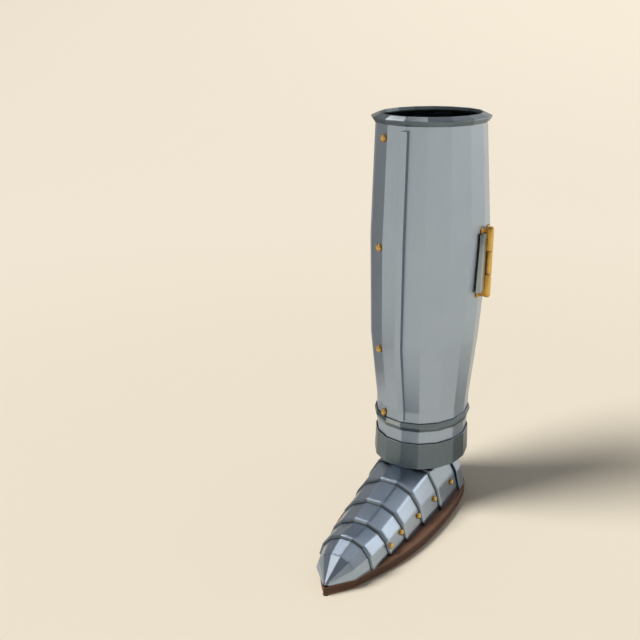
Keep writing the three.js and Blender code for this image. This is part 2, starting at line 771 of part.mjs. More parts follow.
// Heel plate round the back of the foot, open at the top for the ankle
const heelFront = -lameFronts[5] * toeReach;
function heelRing(level, out) {
  const base = soleThickness + gap + level.height * instepHeight;
  const half = heelPlan.map((row) => [
    row.side * level.side * sabatonHalfWidth + out * row.side,
    row.back * level.back * heelReach + out * row.back,
  ]);
  half[0][1] = heelFront;
  const right = half.map(([x, y]) => new THREE.Vector3(x, y, base));
  const left = half.slice(0, -1).reverse().map(([x, y]) => new THREE.Vector3(-x, y, base));
  return [...right, ...left];
}
const heelOuter = heelLevels.map((level) => heelRing(level, 0));
const heelInner = heelLevels.map((level) => heelRing(level, -lameWall));
addPiece(sabaton, 'heel_plate', sheet(heelOuter, heelInner), steel);

// Sole
const soleShape = new THREE.Shape();
soleShape.moveTo(0, -toeReach);
for (const row of soleOutline) soleShape.lineTo(row.half * soleOuterWidth, -row.place * toeReach);
soleShape.lineTo(0, heelReach);
for (const row of [...soleOutline].reverse()) {
  soleShape.lineTo(-row.half * soleInnerWidth, -row.place * toeReach);
}
soleShape.closePath();
const soleGeometry = new THREE.ExtrudeGeometry(soleShape, { depth: soleThickness, bevelEnabled: false });
addPiece(sabaton, 'sole', soleGeometry, soleLeather);

export default group;
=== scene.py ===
# %% [markdown]
# # A steel greave standing on its sabaton
# The greave guards the shin and the calf of a left leg, and the sabaton guards the foot.
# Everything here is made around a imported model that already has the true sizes. Each new
# piece is a surface worked out with numpy, and it takes the place of the plain solid that
# it was measured from. Lengths in the tables are millimetres, and Blender gets metres.

# %% Load the frame and keep its box
import math

import bpy
import numpy as np
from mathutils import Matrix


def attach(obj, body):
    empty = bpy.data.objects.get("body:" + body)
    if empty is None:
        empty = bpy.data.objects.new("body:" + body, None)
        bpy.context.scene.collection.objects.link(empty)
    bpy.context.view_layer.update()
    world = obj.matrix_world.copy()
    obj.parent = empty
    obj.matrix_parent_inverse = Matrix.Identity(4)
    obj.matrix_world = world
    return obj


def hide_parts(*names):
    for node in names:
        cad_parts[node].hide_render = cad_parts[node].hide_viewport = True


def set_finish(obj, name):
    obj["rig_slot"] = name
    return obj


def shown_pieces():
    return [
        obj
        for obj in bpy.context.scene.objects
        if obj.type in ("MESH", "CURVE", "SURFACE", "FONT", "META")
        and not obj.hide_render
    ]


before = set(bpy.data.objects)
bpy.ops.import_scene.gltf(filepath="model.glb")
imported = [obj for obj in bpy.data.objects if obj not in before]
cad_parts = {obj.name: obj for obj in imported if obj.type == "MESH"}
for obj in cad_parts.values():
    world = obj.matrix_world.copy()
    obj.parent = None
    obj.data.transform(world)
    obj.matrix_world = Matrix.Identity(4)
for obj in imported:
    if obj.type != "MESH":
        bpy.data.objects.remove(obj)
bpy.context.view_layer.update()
MM = 0.001

# %% [markdown]
# ## From arrays to meshes
# A sheet of metal is two grids of points, one outside and one inside, with a narrow wall
# all round the border. A roll is a closed outline carried along a path. One function puts
# any set of points and faces into Blender, and turns the faces outwards by looking at the
# sign of the volume that they enclose.

# %% Put points and faces into a mesh
def signed_volume(points, quads):
    """A sixth of the sum of a . (b x c) over the triangles: positive if faces look out."""
    total = 0.0
    for corners in ((0, 1, 2), (0, 2, 3)):
        a, b, c = (points[quads[:, k]] for k in corners)
        total += np.einsum("ij,ij->", a, np.cross(b, c)) / 6
    return total


def put_mesh(name, points, quads, nodes, slot, caps=(), marks=None):
    """One object at the origin from points in millimetres, quads and end caps."""
    faces = [list(face) for face in quads.tolist()] + [list(face) for face in caps]
    if signed_volume(points, quads) < 0:
        faces = [face[::-1] for face in faces]
    mesh = bpy.data.meshes.new(name)
    mesh.from_pydata((points * MM).tolist(), [], faces)
    for mark, values in (marks or {}).items():
        attribute = mesh.attributes.new(mark, "FLOAT", "POINT")
        attribute.data.foreach_set("value", values.astype(np.float32).ravel())
    mesh.shade_smooth()
    mesh.update()
    piece = bpy.data.objects.new(name, mesh)
    bpy.context.scene.collection.objects.link(piece)
    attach(piece, "root")
    if nodes:
        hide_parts(*nodes)
    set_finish(piece, slot)
    return piece


def grid_quads(index):
    """The four corners of every cell of a grid of point numbers."""
    cells = [index[:-1, :-1], index[:-1, 1:], index[1:, 1:], index[1:, :-1]]
    return np.stack(cells, -1).reshape(-1, 4)


def sheet_arrays(outer, inner):
    """Points and quads of a sheet: the outer grid, the inner grid and the border's wall."""
    rows, columns = outer.shape[:2]
    count = rows * columns
    index = np.arange(count).reshape(rows, columns)
    right, left = index[1:, -1], index[-2:0:-1, 0]
    border = np.concatenate([index[0], right, index[-1, -2::-1], left])
    following = np.roll(border, -1)
    wall = np.stack([following, border, border + count, following + count], -1)
    quads = [grid_quads(index), grid_quads(index[:, ::-1] + count), wall]
    return np.concatenate([outer.reshape(-1, 3), inner.reshape(-1, 3)]), np.concatenate(quads)


def tube_arrays(rings):
    """Points, quads and two caps of rings of equal count joined one after another."""
    count, around = rings.shape[:2]
    index = np.arange(count * around).reshape(count, around)
    index = np.concatenate([index, index[:, :1]], 1)
    return rings.reshape(-1, 3), grid_quads(index), [index[0, -2::-1], index[-1, :-1]]


def file_edges(piece, width, angle=32, segments=3):
    """Rounds every edge that is sharper than the angle, as a file does."""
    bevel = piece.modifiers.new("filed_edges", "BEVEL")
    bevel.width = width * MM
    bevel.segments = segments
    bevel.limit_method = "ANGLE"
    bevel.angle_limit = math.radians(angle)
    bevel.harden_normals = True
    return piece


# %% [markdown]
# ## Creases that bend instead of break
# The plates are made of flat facets. A real plate is bent over a stake, so each crease has
# a radius of a millimetre or two. The faceted surface is a function that is straight
# between its creases, so averaging it over a small window leaves the facets flat and turns
# each crease into a small arc. The grid has five lines at each crease to carry that arc.

# %% Soft creases
TAPS = np.linspace(-1, 1, 5)


def soften(surface, u, v, reach_u, reach_v):
    """The mean of surface(u + a, v + b) for five steps of a and b inside the reaches."""
    total = 0
    for step_u in TAPS * reach_u:
        for step_v in TAPS * reach_v:
            total = total + surface(u + step_u, v + step_v)
    return total / len(TAPS) ** 2


def samples(low, high, creases, reach, spacing):
    """Both ends, seven lines at each crease, and even steps of at most the spacing."""
    around = reach * np.array([-1.7, -1, -0.5, 0, 0.5, 1, 1.7])
    near = (np.asarray(creases, float)[:, None] + around).ravel()
    near = near[(near > low + 0.3 * reach) & (near < high - 0.3 * reach)]
    marks = np.unique(np.concatenate([[low], near, [high]]).round(6))
    steps = np.maximum(1, np.ceil(np.diff(marks) / spacing)).astype(int)
    spans = [np.linspace(a, b, n, endpoint=False) for a, b, n in zip(marks, marks[1:], steps)]
    return np.concatenate([*spans, marks[-1:]])


def closeness(values, creases, width):
    """1 on a crease, falling to 0 over the width, for every value."""
    distance = np.abs(values[:, None] - np.asarray(creases, float)).min(1)
    return np.exp(-((distance / width) ** 2))


# %% [markdown]
# ## The leg
# The leg's section has sixteen corners on an ellipse, and the ellipse's half width, half
# depth and centre change with height. A place is counted in facets from the middle of the
# shin, positive towards the outer side, and a place between two corners is on the flat.

# %% The leg's surface
HALF_WIDTH, HALF_DEPTH = 61.3, 76.1
PLATE_WALL, GAP = 1.4, 0.3
FACET = 2 * math.pi / 16
LEVELS = np.array([
    # height, then shares: half width, half depth, centre
    [78.87, 0.798, 0.755, 0.013],
    [99.88, 0.805, 0.762, 0.007],
    [110.0, 0.812, 0.768, 0.000],
    [122.1, 0.814, 0.770, 0.000],
    [197.29, 0.925, 0.912, -0.026],
    [305.42, 1.000, 1.000, 0.046],
    [436.0, 0.892, 0.838, -0.088],
])
CREASE_HEIGHTS = LEVELS[1:-1, 0]
CORNERS = np.arange(-12, 13)
OUTER_SPLIT, INNER_SPLIT = 4, -6
PLATE_BOTTOM, PLATE_TOP = 79.0, 424.7


def leg_ellipse(height, out):
    """Half width, half depth and centre of the ellipse at a height, moved out."""
    a = HALF_WIDTH * np.interp(height, LEVELS[:, 0], LEVELS[:, 1]) + out
    b = HALF_DEPTH * np.interp(height, LEVELS[:, 0], LEVELS[:, 2]) + out
    return a, b, HALF_DEPTH * np.interp(height, LEVELS[:, 0], LEVELS[:, 3])


def leg(height, place, out):
    """x = a sin(angle) and y = c - b cos(angle) at the corners, straight between them."""
    a, b, c = leg_ellipse(height, out)
    facet = np.floor(place + 1e-9)
    part = place - facet
    start, stop = facet * FACET, (facet + 1) * FACET
    sine = (1 - part) * np.sin(start) + part * np.sin(stop)
    cosine = (1 - part) * np.cos(start) + part * np.cos(stop)
    return np.stack([a * sine, c - b * cosine, height + 0 * a], -1)


seam = GAP / 2 / 24.0
FRONT_SPAN = (INNER_SPLIT + seam, OUTER_SPLIT - seam)
CALF_SPAN = (OUTER_SPLIT + seam, INNER_SPLIT + 16 - seam)
print("middle of the shin at half height:", leg(np.array(218.0), np.array(0.0), 0).round(1))

# %% [markdown]
# ## The two plates
# The front plate goes round the shin and the calf plate round the back. They meet in two
# seams, one on the outer side under the hinge and one at the back of the inner side. Each
# plate carries two marks for its finish: where hands and straps have rubbed its creases
# and borders bright, and painted shade, which darkens the whole inside and a line beside the ridge.

# %% Front plate and calf plate
CREASE_REACH = 1.5
RIDGE_LOW, RIDGE_HIGH = 112.2, 420.0
PLACE_REACH = 0.035
RIDGE_FOOT = 0.165


def leg_sheet(name, node, span, bottom, top, out_at, wall, slot, spacing=9.0):
    """A sheet on the leg between two places and two heights, softened at its creases."""
    heights = samples(bottom, top, CREASE_HEIGHTS, CREASE_REACH, spacing)
    corners = CORNERS[(CORNERS > span[0] - 1) & (CORNERS < span[1] + 1)]
    ridge_feet = [RIDGE_FOOT] if node == "front_plate" else []
    places = samples(*span, [*corners, *ridge_feet], PLACE_REACH, 0.34)
    h, p = np.meshgrid(heights, places, indexing="ij")
    outer = soften(lambda a, b: leg(a, b, out_at(h)), h, p, CREASE_REACH, PLACE_REACH)
    inner = soften(lambda a, b: leg(a, b, out_at(h) - wall), h, p, CREASE_REACH, PLACE_REACH)
    points, quads = sheet_arrays(outer, inner)
    wear_and_sheen = np.maximum(
        closeness(places, corners, 0.04)[None] * 0.3,
        closeness(heights, [bottom, top], 1.0)[:, None] * 0.35,
    )
    wear_and_sheen = np.maximum(wear_and_sheen, closeness(places, span, 0.04)[None] * 0.8)
    painted_shade = np.zeros_like(wear_and_sheen)
    # Painted shade: a dark line on the front plate along the ridge's outer foot.
    if ridge_feet:
        low = (heights > RIDGE_LOW) & (heights < RIDGE_HIGH)
        painted_shade += low[:, None] * 0.4 * closeness(places, ridge_feet, 0.03)[None]
    # The inner face is painted dark all over, as shade inside the greave.
    marks = {
        "wear_and_highlight": np.concatenate([wear_and_sheen.ravel(), wear_and_sheen.ravel() * 0.2]),
        "shade_and_joints": np.concatenate([painted_shade.ravel(), painted_shade.ravel() + 1]),
    }
    piece = put_mesh(name, points, quads, [node], slot, marks=marks)
    return file_edges(piece, 0.35, segments=2)


front_plate = leg_sheet(
    "front_plate_steel", "front_plate", FRONT_SPAN, PLATE_BOTTOM, PLATE_TOP,
    lambda h: 0 * h, PLATE_WALL, "steel")
calf_plate = leg_sheet(
    "calf_plate_steel", "calf_plate", CALF_SPAN, PLATE_BOTTOM, PLATE_TOP,
    lambda h: 0 * h, PLATE_WALL, "steel")
print("plates:", len(front_plate.data.polygons), len(calf_plate.data.polygons), "faces")

# %% [markdown]
# ## The ridge
# A raised strip runs down the middle of the shin and stiffens the plate. It is drawn as a
# low, square-shouldered outline carried up the shin, and it stands about two millimetres
# proud, so it is a shape. Its outer side face is also painted darker, as shade.

# %% Ridge down the shin
RIDGE_HALF = 3.5
RIDGE = np.array([
    # height, reach forward as a share of the half depth
    [RIDGE_LOW, 0.809], [122.1, 0.809], [197.29, 1.003], [305.42, 1.029], [RIDGE_HIGH, 0.998],
])


def ridge_point(height, corner):
    """Corners 0 to 3 go from the plate, out, across and back to the plate."""
    front = -HALF_DEPTH * np.interp(height, RIDGE[:, 0], RIDGE[:, 1])
    root = leg(height, 0 * height, -PLATE_WALL / 2)[..., 1]
    x = np.interp(corner, [0, 1, 2, 3], [-RIDGE_HALF, -RIDGE_HALF, RIDGE_HALF, RIDGE_HALF])
    depth = np.interp(corner, [0, 1, 2, 3], [0, 1, 1, 0])
    return np.stack([x, root + (front - root) * depth, height], -1)


ridge_heights = samples(RIDGE[0, 0], RIDGE[-1, 0], RIDGE[1:-1, 0], 1.5, 12)
h, c = np.meshgrid(ridge_heights, samples(0, 3, [1, 2], 0.08, 0.25), indexing="ij")
rings = soften(ridge_point, h, c, 1.5, 0.08)
points, quads, caps = tube_arrays(rings)
# The ridge's shoulders are worn bright, and its outer side face is painted darker as shade.
ridge_rub = np.repeat(
    0.5 * closeness(c[0], [1, 2], 0.1)[None], len(ridge_heights), 0)
ridge_painted_shade = 0.4 * (c > 2.02)
ridge = put_mesh(
    "shin_ridge", points, quads, [], "steel", caps,
    {"wear_and_highlight": ridge_rub * (c < 2.02), "shade_and_joints": ridge_painted_shade})
file_edges(ridge, 0.5)
print("ridge stands", round(float(-rings[20, :, 1].min() + leg(h[20, 0], 0.0, 0)[1]), 2), "mm proud")

# %% [markdown]
# ## Rolls and cuff
# Both ends of the greave are stiffened. At the knee the edge is rolled into a thick bead,
# a thinner bead marks the ankle, and a darkened cuff closes the bottom. A roll is a closed
# outline of five corners carried along the leg's section, with its corners softened.

# %% Rolls
TOP_ROLL = np.array([[-4.0, 433.6], [-5.0, 429.0], [-2.6, 424.2], [1.6, 424.2], [5.2, 429.5]])
ANKLE_ROLL = np.array([[0.3, 110.0], [0.3, 100.3], [1.2, 100.3], [2.7, 105.2], [1.2, 110.0]])


def roll(name, node, span, section, reach, worn_and_highlit=()):
    """Rings of the section's outline; the listed faces (facet, side, amount) are painted bright as a
    highlight.
    """
    loop = np.concatenate([section, section[:1]])
    number = len(section)
    corners = CORNERS[(CORNERS > span[0] - 1) & (CORNERS < span[1] + 1)]
    places = samples(*span, corners, PLACE_REACH, 0.34)
    around = samples(0, number, np.arange(number + 1), reach, 0.5)
    around = np.unique(np.concatenate([around, [number - reach, number - reach / 2]]))[:-1]

    def surface(place, corner):
        turn = np.mod(corner, number)
        out = np.interp(turn, np.arange(number + 1), loop[:, 0])
        height = np.interp(turn, np.arange(number + 1), loop[:, 1])
        return leg(height, place, out)

    p, s = np.meshgrid(places, around, indexing="ij")
    points, quads, caps = tube_arrays(soften(surface, p, s, PLACE_REACH, reach))
    corner = closeness(np.mod(around + 0.5, number) - 0.5, np.arange(number), 0.12)
    wear_and_sheen = np.repeat(0.45 * corner[None], len(places), 0)
    # Painted highlight: the listed faces are lightened as if they caught the light.
    for facet, side, amount in worn_and_highlit:
        face = np.outer(np.abs(places - facet - 0.5) < 0.48, np.abs(around - side - 0.5) < 0.48)
        wear_and_sheen = np.maximum(wear_and_sheen, amount * face)
    piece = put_mesh(name, points, quads, [node], "dark_steel", caps,
                     {"wear_and_highlight": wear_and_sheen, "shade_and_joints": 0 * wear_and_sheen})
    return file_edges(piece, 0.25, angle=50, segments=2)


# The front faces of the top roll and the ankle roll carry a painted highlight.
roll("top_roll_front_steel", "top_roll_front", FRONT_SPAN, TOP_ROLL, 0.16,
     worn_and_highlit=((-1, 4, 0.9), (0, 4, 0.9)))
roll("top_roll_calf_steel", "top_roll_calf", CALF_SPAN, TOP_ROLL, 0.16)
roll("ankle_roll_front_steel", "ankle_roll_front", FRONT_SPAN, ANKLE_ROLL, 0.10,
     worn_and_highlit=((-1, 3, 1.0),))
roll("ankle_roll_calf_steel", "ankle_roll_calf", CALF_SPAN, ANKLE_ROLL, 0.10)

# %% Cuff
CUFF_WALL, CUFF_TOP, CUFF_BOTTOM = 1.5, 85.5, 56.0


def cuff_out(height):
    """The cuff flares from 1.6 mm off the leg at its top to 2.6 mm at its bottom."""
    return 1.6 + (CUFF_TOP - height) / (CUFF_TOP - CUFF_BOTTOM)


for side, span in (("front", FRONT_SPAN), ("calf", CALF_SPAN)):
    leg_sheet(f"cuff_{side}_steel", f"cuff_{side}", span, CUFF_BOTTOM, CUFF_TOP,
              cuff_out, CUFF_WALL, "dark_steel", spacing=6)

# %% [markdown]
# ## Rivets
# A rivet is turned, so its shape is an outline of radius and height spun round an axis.
# The domed head shows outside, the shank goes through the plate, and the far end is
# hammered into a small flat head inside.

# %% Rivets
SHIN_RIVET = {"head": 4.1, "dome": 3.7, "shank": 1.3, "burr": 2.3, "burr_depth": 0.8}
LAME_RIVET = {"head": 3.2, "dome": 3.0, "shank": 1.1, "burr": 2.0, "burr_depth": 0.7}
TURN = np.linspace(0, 2 * math.pi, 28, endpoint=False)


def spin(name, nodes, slot, profile, centre, axis):
    """Turns (radius, height) rows round an axis; the first and last rows are poles."""
    axis = np.asarray(axis, float) / np.linalg.norm(axis)
    side = np.cross(axis, [0.0, 0.0, 1.0] if abs(axis[2]) < 0.9 else [0.0, 1.0, 0.0])
    side /= np.linalg.norm(side)
    other = np.cross(axis, side)
    profile = np.asarray(profile, float)
    radius, height = np.maximum(profile[:, :1], 1e-4), profile[:, 1:]
    circle = np.cos(TURN)[:, None] * side + np.sin(TURN)[:, None] * other
    rings = centre + radius[:, :, None] * circle[None] + height[:, :, None] * axis
    points, quads, caps = tube_arrays(rings)
    wear_and_sheen = np.repeat(closeness(profile[:, 1], [profile[:, 1].max()], 0.8)[:, None], 28, 1)
    return put_mesh(name, points, quads, nodes, slot, caps,
                    {"wear_and_highlight": wear_and_sheen, "shade_and_joints": 0 * wear_and_sheen})


def rivet_profile(shape, wall):
    """Inner head, shank, then a head that is a flattened quarter ellipse in section."""
    back = -(wall + 2 * GAP)
    low = back - shape["burr_depth"]
    angle = np.linspace(0, math.pi / 2, 10)
    burr, shank, head = shape["burr"], shape["shank"], shape["head"]
    rows = [[0, low], [burr - 0.3, low], [burr, low + 0.25], [burr, back], [shank, back],
            [shank, 0], [head - 0.25, 0], [head, 0.25]]
    dome = np.stack([head * np.cos(angle[1:]) ** 0.9,
                     0.25 + (shape["dome"] - 0.25) * np.sin(angle[1:])], -1)
    return np.concatenate([rows, dome])


def leg_seat(height, place):
    """A point of the leg's surface and the direction straight out of its facet."""
    facet = math.floor(place + 1e-9)
    h = np.array(float(height))
    along = leg(h, np.array(facet + 1.0), 0) - leg(h, np.array(float(facet)), 0)
    up = leg(h + 1, np.array(place), 0) - leg(h - 1, np.array(place), 0)
    normal = np.cross(along, up)
    return leg(h, np.array(place), 0), normal / np.linalg.norm(normal)


for number, height in enumerate([411, 300.84, 191.32, 114.4], 1):
    point, normal = leg_seat(height, -1.24)
    spin(f"shin_rivet_{number}_brass", [f"shin_rivet_{number}"], "brass",
         rivet_profile(SHIN_RIVET, PLATE_WALL), point + GAP * normal, normal)

# %% [markdown]
# ## The hinge
# The calf plate swings on a brass hinge of three knuckles round one pin. Each leaf lies on
# its plate, and a dark steel block covers the front leaf. A knuckle is a ring that grows an
# arm towards its leaf: at each angle its outer radius is the larger of the barrel's own
# radius and the distance to the arm's edge.

# %% Hinge
HINGE_X, HINGE_Y, BARREL, PIN_HOLE = 65.7, 4.5, 3.5, 1.6
KNUCKLES = {"low": (245.2, 269.3), "middle": (269.6, 294.0), "high": (294.3, 318.4)}


def outer_x(height, y, out):
    """The leg's outer surface at a depth y: straight across the facet that holds it."""
    a, b, c = leg_ellipse(height, out)
    part = np.clip(np.abs(y - c) / (b * math.sin(FACET)), 0, 1)
    return a * (1 - part * (1 - math.cos(FACET)))


def knuckle_rings(bottom, top, direction):
    """Outer and inner rings from bottom to top; direction is -1 forwards, +1 backwards."""
    turn = np.linspace(0, 2 * math.pi, 48, endpoint=False)
    cosine, sine = np.cos(turn), np.sin(turn)
    heights = np.array([bottom, bottom + 0.5, (bottom + top) / 2, top - 0.5, top])
    inset = np.array([0.35, 0, 0, 0, 0.35])
    depth = HINGE_X - outer_x(heights, HINGE_Y + direction * 3.5, GAP) - 0.3
    width = 4.2 if direction < 0 else 4.7
    with np.errstate(divide="ignore"):
        to_leg = np.where(cosine < -1e-6, depth[:, None] / -np.minimum(cosine, -1e-6), 0)
        to_side = np.where(sine * direction > 1e-6, width / np.maximum(sine * direction, 1e-6), 0)
    reach = np.where((cosine < 0) & (sine * direction > 0),
                     np.minimum(to_leg, to_side[None]), 0)
    radius = np.maximum(BARREL, reach) - inset[:, None]
    ring = lambda r: np.stack([HINGE_X + r * cosine, HINGE_Y + r * sine,
                               np.broadcast_to(heights[:, None], r.shape)], -1)
    outer = ring(radius)
    inner = ring(np.full_like(radius, PIN_HOLE))
    return np.concatenate([outer, inner[::-1]])


def closed_ring_arrays(rings):
    """A tube whose last ring joins its first, so that it is a ring with a hole."""
    count, around = rings.shape[:2]
    index = np.arange(count * around).reshape(count, around)
    index = np.concatenate([index, index[:1]])
    index = np.concatenate([index, index[:, :1]], 1)
    return rings.reshape(-1, 3), grid_quads(index)


def hinge_leaf(name, node, y_from, y_to, knuckles, direction):
    """A leaf one millimetre thick on the plate, with its knuckles in the same mesh."""
    heights = np.linspace(245.2, 318.4, 9)
    ys = np.linspace(y_from, y_to, 5)
    h, y = np.meshgrid(heights, ys, indexing="ij")
    outer, inner = (
        np.stack([outer_x(h, y, GAP + out), y, h], -1) for out in (1.0, 0.0))
    points, quads = sheet_arrays(outer, inner)
    if signed_volume(points, quads) < 0:
        quads = quads[:, ::-1]
    parts, faces, start = [points], [quads], len(points)
    for key in knuckles:
        ring_points, ring_quads = closed_ring_arrays(knuckle_rings(*KNUCKLES[key], direction))
        if signed_volume(ring_points, ring_quads) < 0:
            ring_quads = ring_quads[:, ::-1]
        parts.append(ring_points)
        faces.append(ring_quads + start)
        start += len(ring_points)
    points = np.concatenate(parts)
    wear_and_sheen = closeness(points[:, 0], [HINGE_X + BARREL], 2.5)
    piece = put_mesh(name, points, np.concatenate(faces), [node], "brass",
                     marks={"wear_and_highlight": wear_and_sheen, "shade_and_joints": 0 * wear_and_sheen})
    return file_edges(piece, 0.22, angle=40, segments=2)


hinge_leaf("hinge_front_leaf_brass", "hinge_front_leaf", -8, 0.7, ("low", "high"), -1)
hinge_leaf("hinge_rear_leaf_brass", "hinge_rear_leaf", 8.3, 22, ("middle",), 1)
pin_low, pin_high = 245.2 - GAP, 318.4 + GAP
spin("hinge_pin_brass", ["hinge_pin"], "brass",
     [[0, pin_low - 0.8], [2.1, pin_low - 0.8], [2.5, pin_low - 0.45], [2.5, pin_low],
      [1.3, pin_low], [1.3, pin_high], [2.5, pin_high], [2.5, pin_high + 0.45],
      [2.1, pin_high + 0.8], [0, pin_high + 0.8]],
     np.array([HINGE_X, HINGE_Y, 0.0]), [0, 0, 1])

cover_heights = np.concatenate([[251, 251.6], np.linspace(256, 309, 7), [313.4, 314]])
cover_inset = np.zeros(len(cover_heights))
cover_inset[[0, -1]] = 0.6
corner = samples(0, 4, np.arange(5), 0.06, 0.34)[:-1]
h, s = np.meshgrid(cover_heights, corner, indexing="ij")


def cover_point(height, turn):
    """Corners: front foot on the plate, front shoulder, rear shoulder, rear foot."""
    turn = np.mod(turn, 4)
    y = np.interp(turn, np.arange(5), [-12.0, -9.0, -0.1, -0.1, -12.0])
    lift = np.interp(turn, np.arange(5), [0, 1, 1, 0, 0])
    base = outer_x(height, y, 1.6)
    return np.stack([base + (63.8 - base) * lift, y, height], -1)


rings = soften(cover_point, h, s, 0.01, 0.06)
middle = rings.mean(1, keepdims=True)
away = rings - middle
length = np.linalg.norm(away, axis=2, keepdims=True)
rings = rings - away / length * cover_inset[:, None, None]
points, quads, caps = tube_arrays(rings)
# The whole cover is lightened, and its outer face is lighter still as a painted highlight.
cover_tone_and_highlight = 0.55 + 0.3 * closeness(points[:, 0], [63.8], 0.5)
cover = put_mesh("hinge_cover_steel", points, quads, ["hinge_cover"], "dark_steel", caps,
                 {"wear_and_highlight": cover_tone_and_highlight, "shade_and_joints": 0 * cover_tone_and_highlight})
print("hinge pieces made, knuckles:", list(KNUCKLES))

# %% [markdown]
# ## Straps
# Two leather straps close the greave on the inner side. Each is riveted to the front plate,
# lies across the seam and is buttoned on a stud of the calf plate. The upper one has its
# riveted end doubled back on itself. A strap is a band whose centre line is a path of place
# and distance from the leg, with its thickness laid off on both sides of that path.

# %% Straps
STRAP_WALL, STRAP_WIDTH = 2.6, 18.6
FACET_LENGTH = 26.0
STRAP_FRONT, STRAP_FOLD, STRAP_REAR = -4.8, -5.66, -7.85


def strap_path(folded):
    """Rows of distance along the leg and distance out, from the rear end to the front."""
    low = GAP + STRAP_WALL / 2
    rear, front = STRAP_REAR * FACET_LENGTH, STRAP_FRONT * FACET_LENGTH
    if not folded:
        line = samples(rear, front, np.arange(-7, -4) * FACET_LENGTH, 1.3, 3.0)
        return np.stack([line, np.full_like(line, low)], -1)
    radius = STRAP_WALL / 2 + 0.03
    line = samples(rear, front - 2 * radius, np.arange(-7, -4) * FACET_LENGTH, 1.3, 3.0)
    turn = np.linspace(-math.pi / 2, math.pi / 2, 11)[1:-1]
    bend = np.stack([front - 2 * radius + radius * np.cos(turn),
                     low + radius + radius * np.sin(turn)], -1)
    back = samples(STRAP_FOLD * FACET_LENGTH, front - 2 * radius,
                   np.arange(-7, -4) * FACET_LENGTH, 1.3, 3.0)[::-1]
    first = np.stack([line, np.full_like(line, low)], -1)
    second = np.stack([back, np.full_like(back, low + 2 * radius)], -1)
    return np.concatenate([first, bend, second])


def strap(name, node, height, folded):
    """The band: its path, half a wall out and in, and across its width a soft outline."""
    path = strap_path(folded)
    tangent = np.gradient(path, axis=0)
    tangent /= np.linalg.norm(tangent, axis=1, keepdims=True)
    normal = np.stack([-tangent[:, 1], tangent[:, 0]], -1)
    travel = np.concatenate([[0], np.cumsum(np.linalg.norm(np.diff(path, axis=0), axis=1))])
    to_end = np.minimum(travel, 5.5)
    trim = (1 - np.sqrt(1 - (1 - to_end / 5.5) ** 2 * 0.96)) * 3.2
    across = np.array([-1, -0.97, -0.9, -0.84, -0.8, -0.4, 0, 0.4, 0.8, 0.84, 0.9, 0.97, 1])
    thin = np.array([0.62, 0.86, 1, 0.93, 1, 1, 1, 1, 1, 0.93, 1, 0.86, 0.62])
    half = (STRAP_WIDTH / 2 - trim)[:, None] * across[None]

    def face(sign):
        shifted = path[:, None] + sign * normal[:, None] * (STRAP_WALL / 2 * thin)[None, :, None]
        place = shifted[..., 0] / FACET_LENGTH
        surface = lambda a, b: leg(a, b, shifted[..., 1])
        return soften(surface, height + half, place, 0.01, PLACE_REACH)

    points, quads = sheet_arrays(face(1), face(-1))
    wear_and_sheen = np.broadcast_to(closeness(across, [-1, 1], 0.1)[None], half.shape)
    piece = put_mesh(name, points, quads, [node], "strap_leather",
                     marks={"wear_and_highlight": np.concatenate([wear_and_sheen.ravel(), wear_and_sheen.ravel()]),
                            "shade_and_joints": np.zeros(2 * wear_and_sheen.size)})
    return piece


for label, height, folded in (("upper", 366.0, True), ("lower", 208.5, False)):
    strap(f"strap_{label}_leather", f"strap_{label}", height, folded)
    front_stack = GAP + STRAP_WALL * (2 if folded else 1)
    for ending, place, stack in (("rivet", -5.28, front_stack), ("stud", -7.5, GAP + STRAP_WALL)):
        point, normal = leg_seat(height, place)
        spin(f"strap_{label}_{ending}_brass", [f"strap_{label}_{ending}"], "brass",
             rivet_profile(LAME_RIVET, PLATE_WALL + stack), point + (stack + GAP) * normal, normal)

# %% [markdown]
# ## The sabaton
# The foot's arch has seven flat facets over the instep. Its table gives the foot, hip,
# shoulder and crown of one half at nine places between toe and heel. Each lame is a piece of
# that arch which starts a step above the lame in front, and runs down and back until it dips
# under the lame behind. The step's front edge is filed square, and its wall is painted dark as
# shade.

# %% The foot's surface
SOLE, TOE_REACH, HEEL_REACH = 10.0, 232.5, 58.5
SABATON_HALF, INSTEP = 46.4, 43.2
LAME_WALL, LAME_STEP, LAME_OVERLAP, LAME_DIP = 2.0, 2.4, 8.0, 1.0
FOOT = np.array([
    # place, foot, hip x, hip z, shoulder x, shoulder z, crown x, crown z
    [-0.060, 1.010, 0.900, 0.505, 0.670, 0.938, 0.239, 1.000],
    [-0.015, 1.000, 0.890, 0.505, 0.662, 0.938, 0.236, 1.030],
    [0.209, 0.955, 0.846, 0.510, 0.618, 0.940, 0.224, 1.065],
    [0.380, 0.877, 0.758, 0.455, 0.552, 0.770, 0.203, 0.942],
    [0.535, 0.797, 0.685, 0.375, 0.496, 0.622, 0.183, 0.770],
    [0.670, 0.705, 0.612, 0.310, 0.440, 0.509, 0.160, 0.630],
    [0.803, 0.605, 0.530, 0.282, 0.378, 0.486, 0.140, 0.600],
    [0.893, 0.475, 0.412, 0.220, 0.292, 0.395, 0.112, 0.486],
    [0.995, 0.022, 0.020, 0.012, 0.014, 0.022, 0.005, 0.028],
])
LAME_FRONTS = np.array([0.803, 0.670, 0.535, 0.380, 0.209, -0.015]) * -TOE_REACH


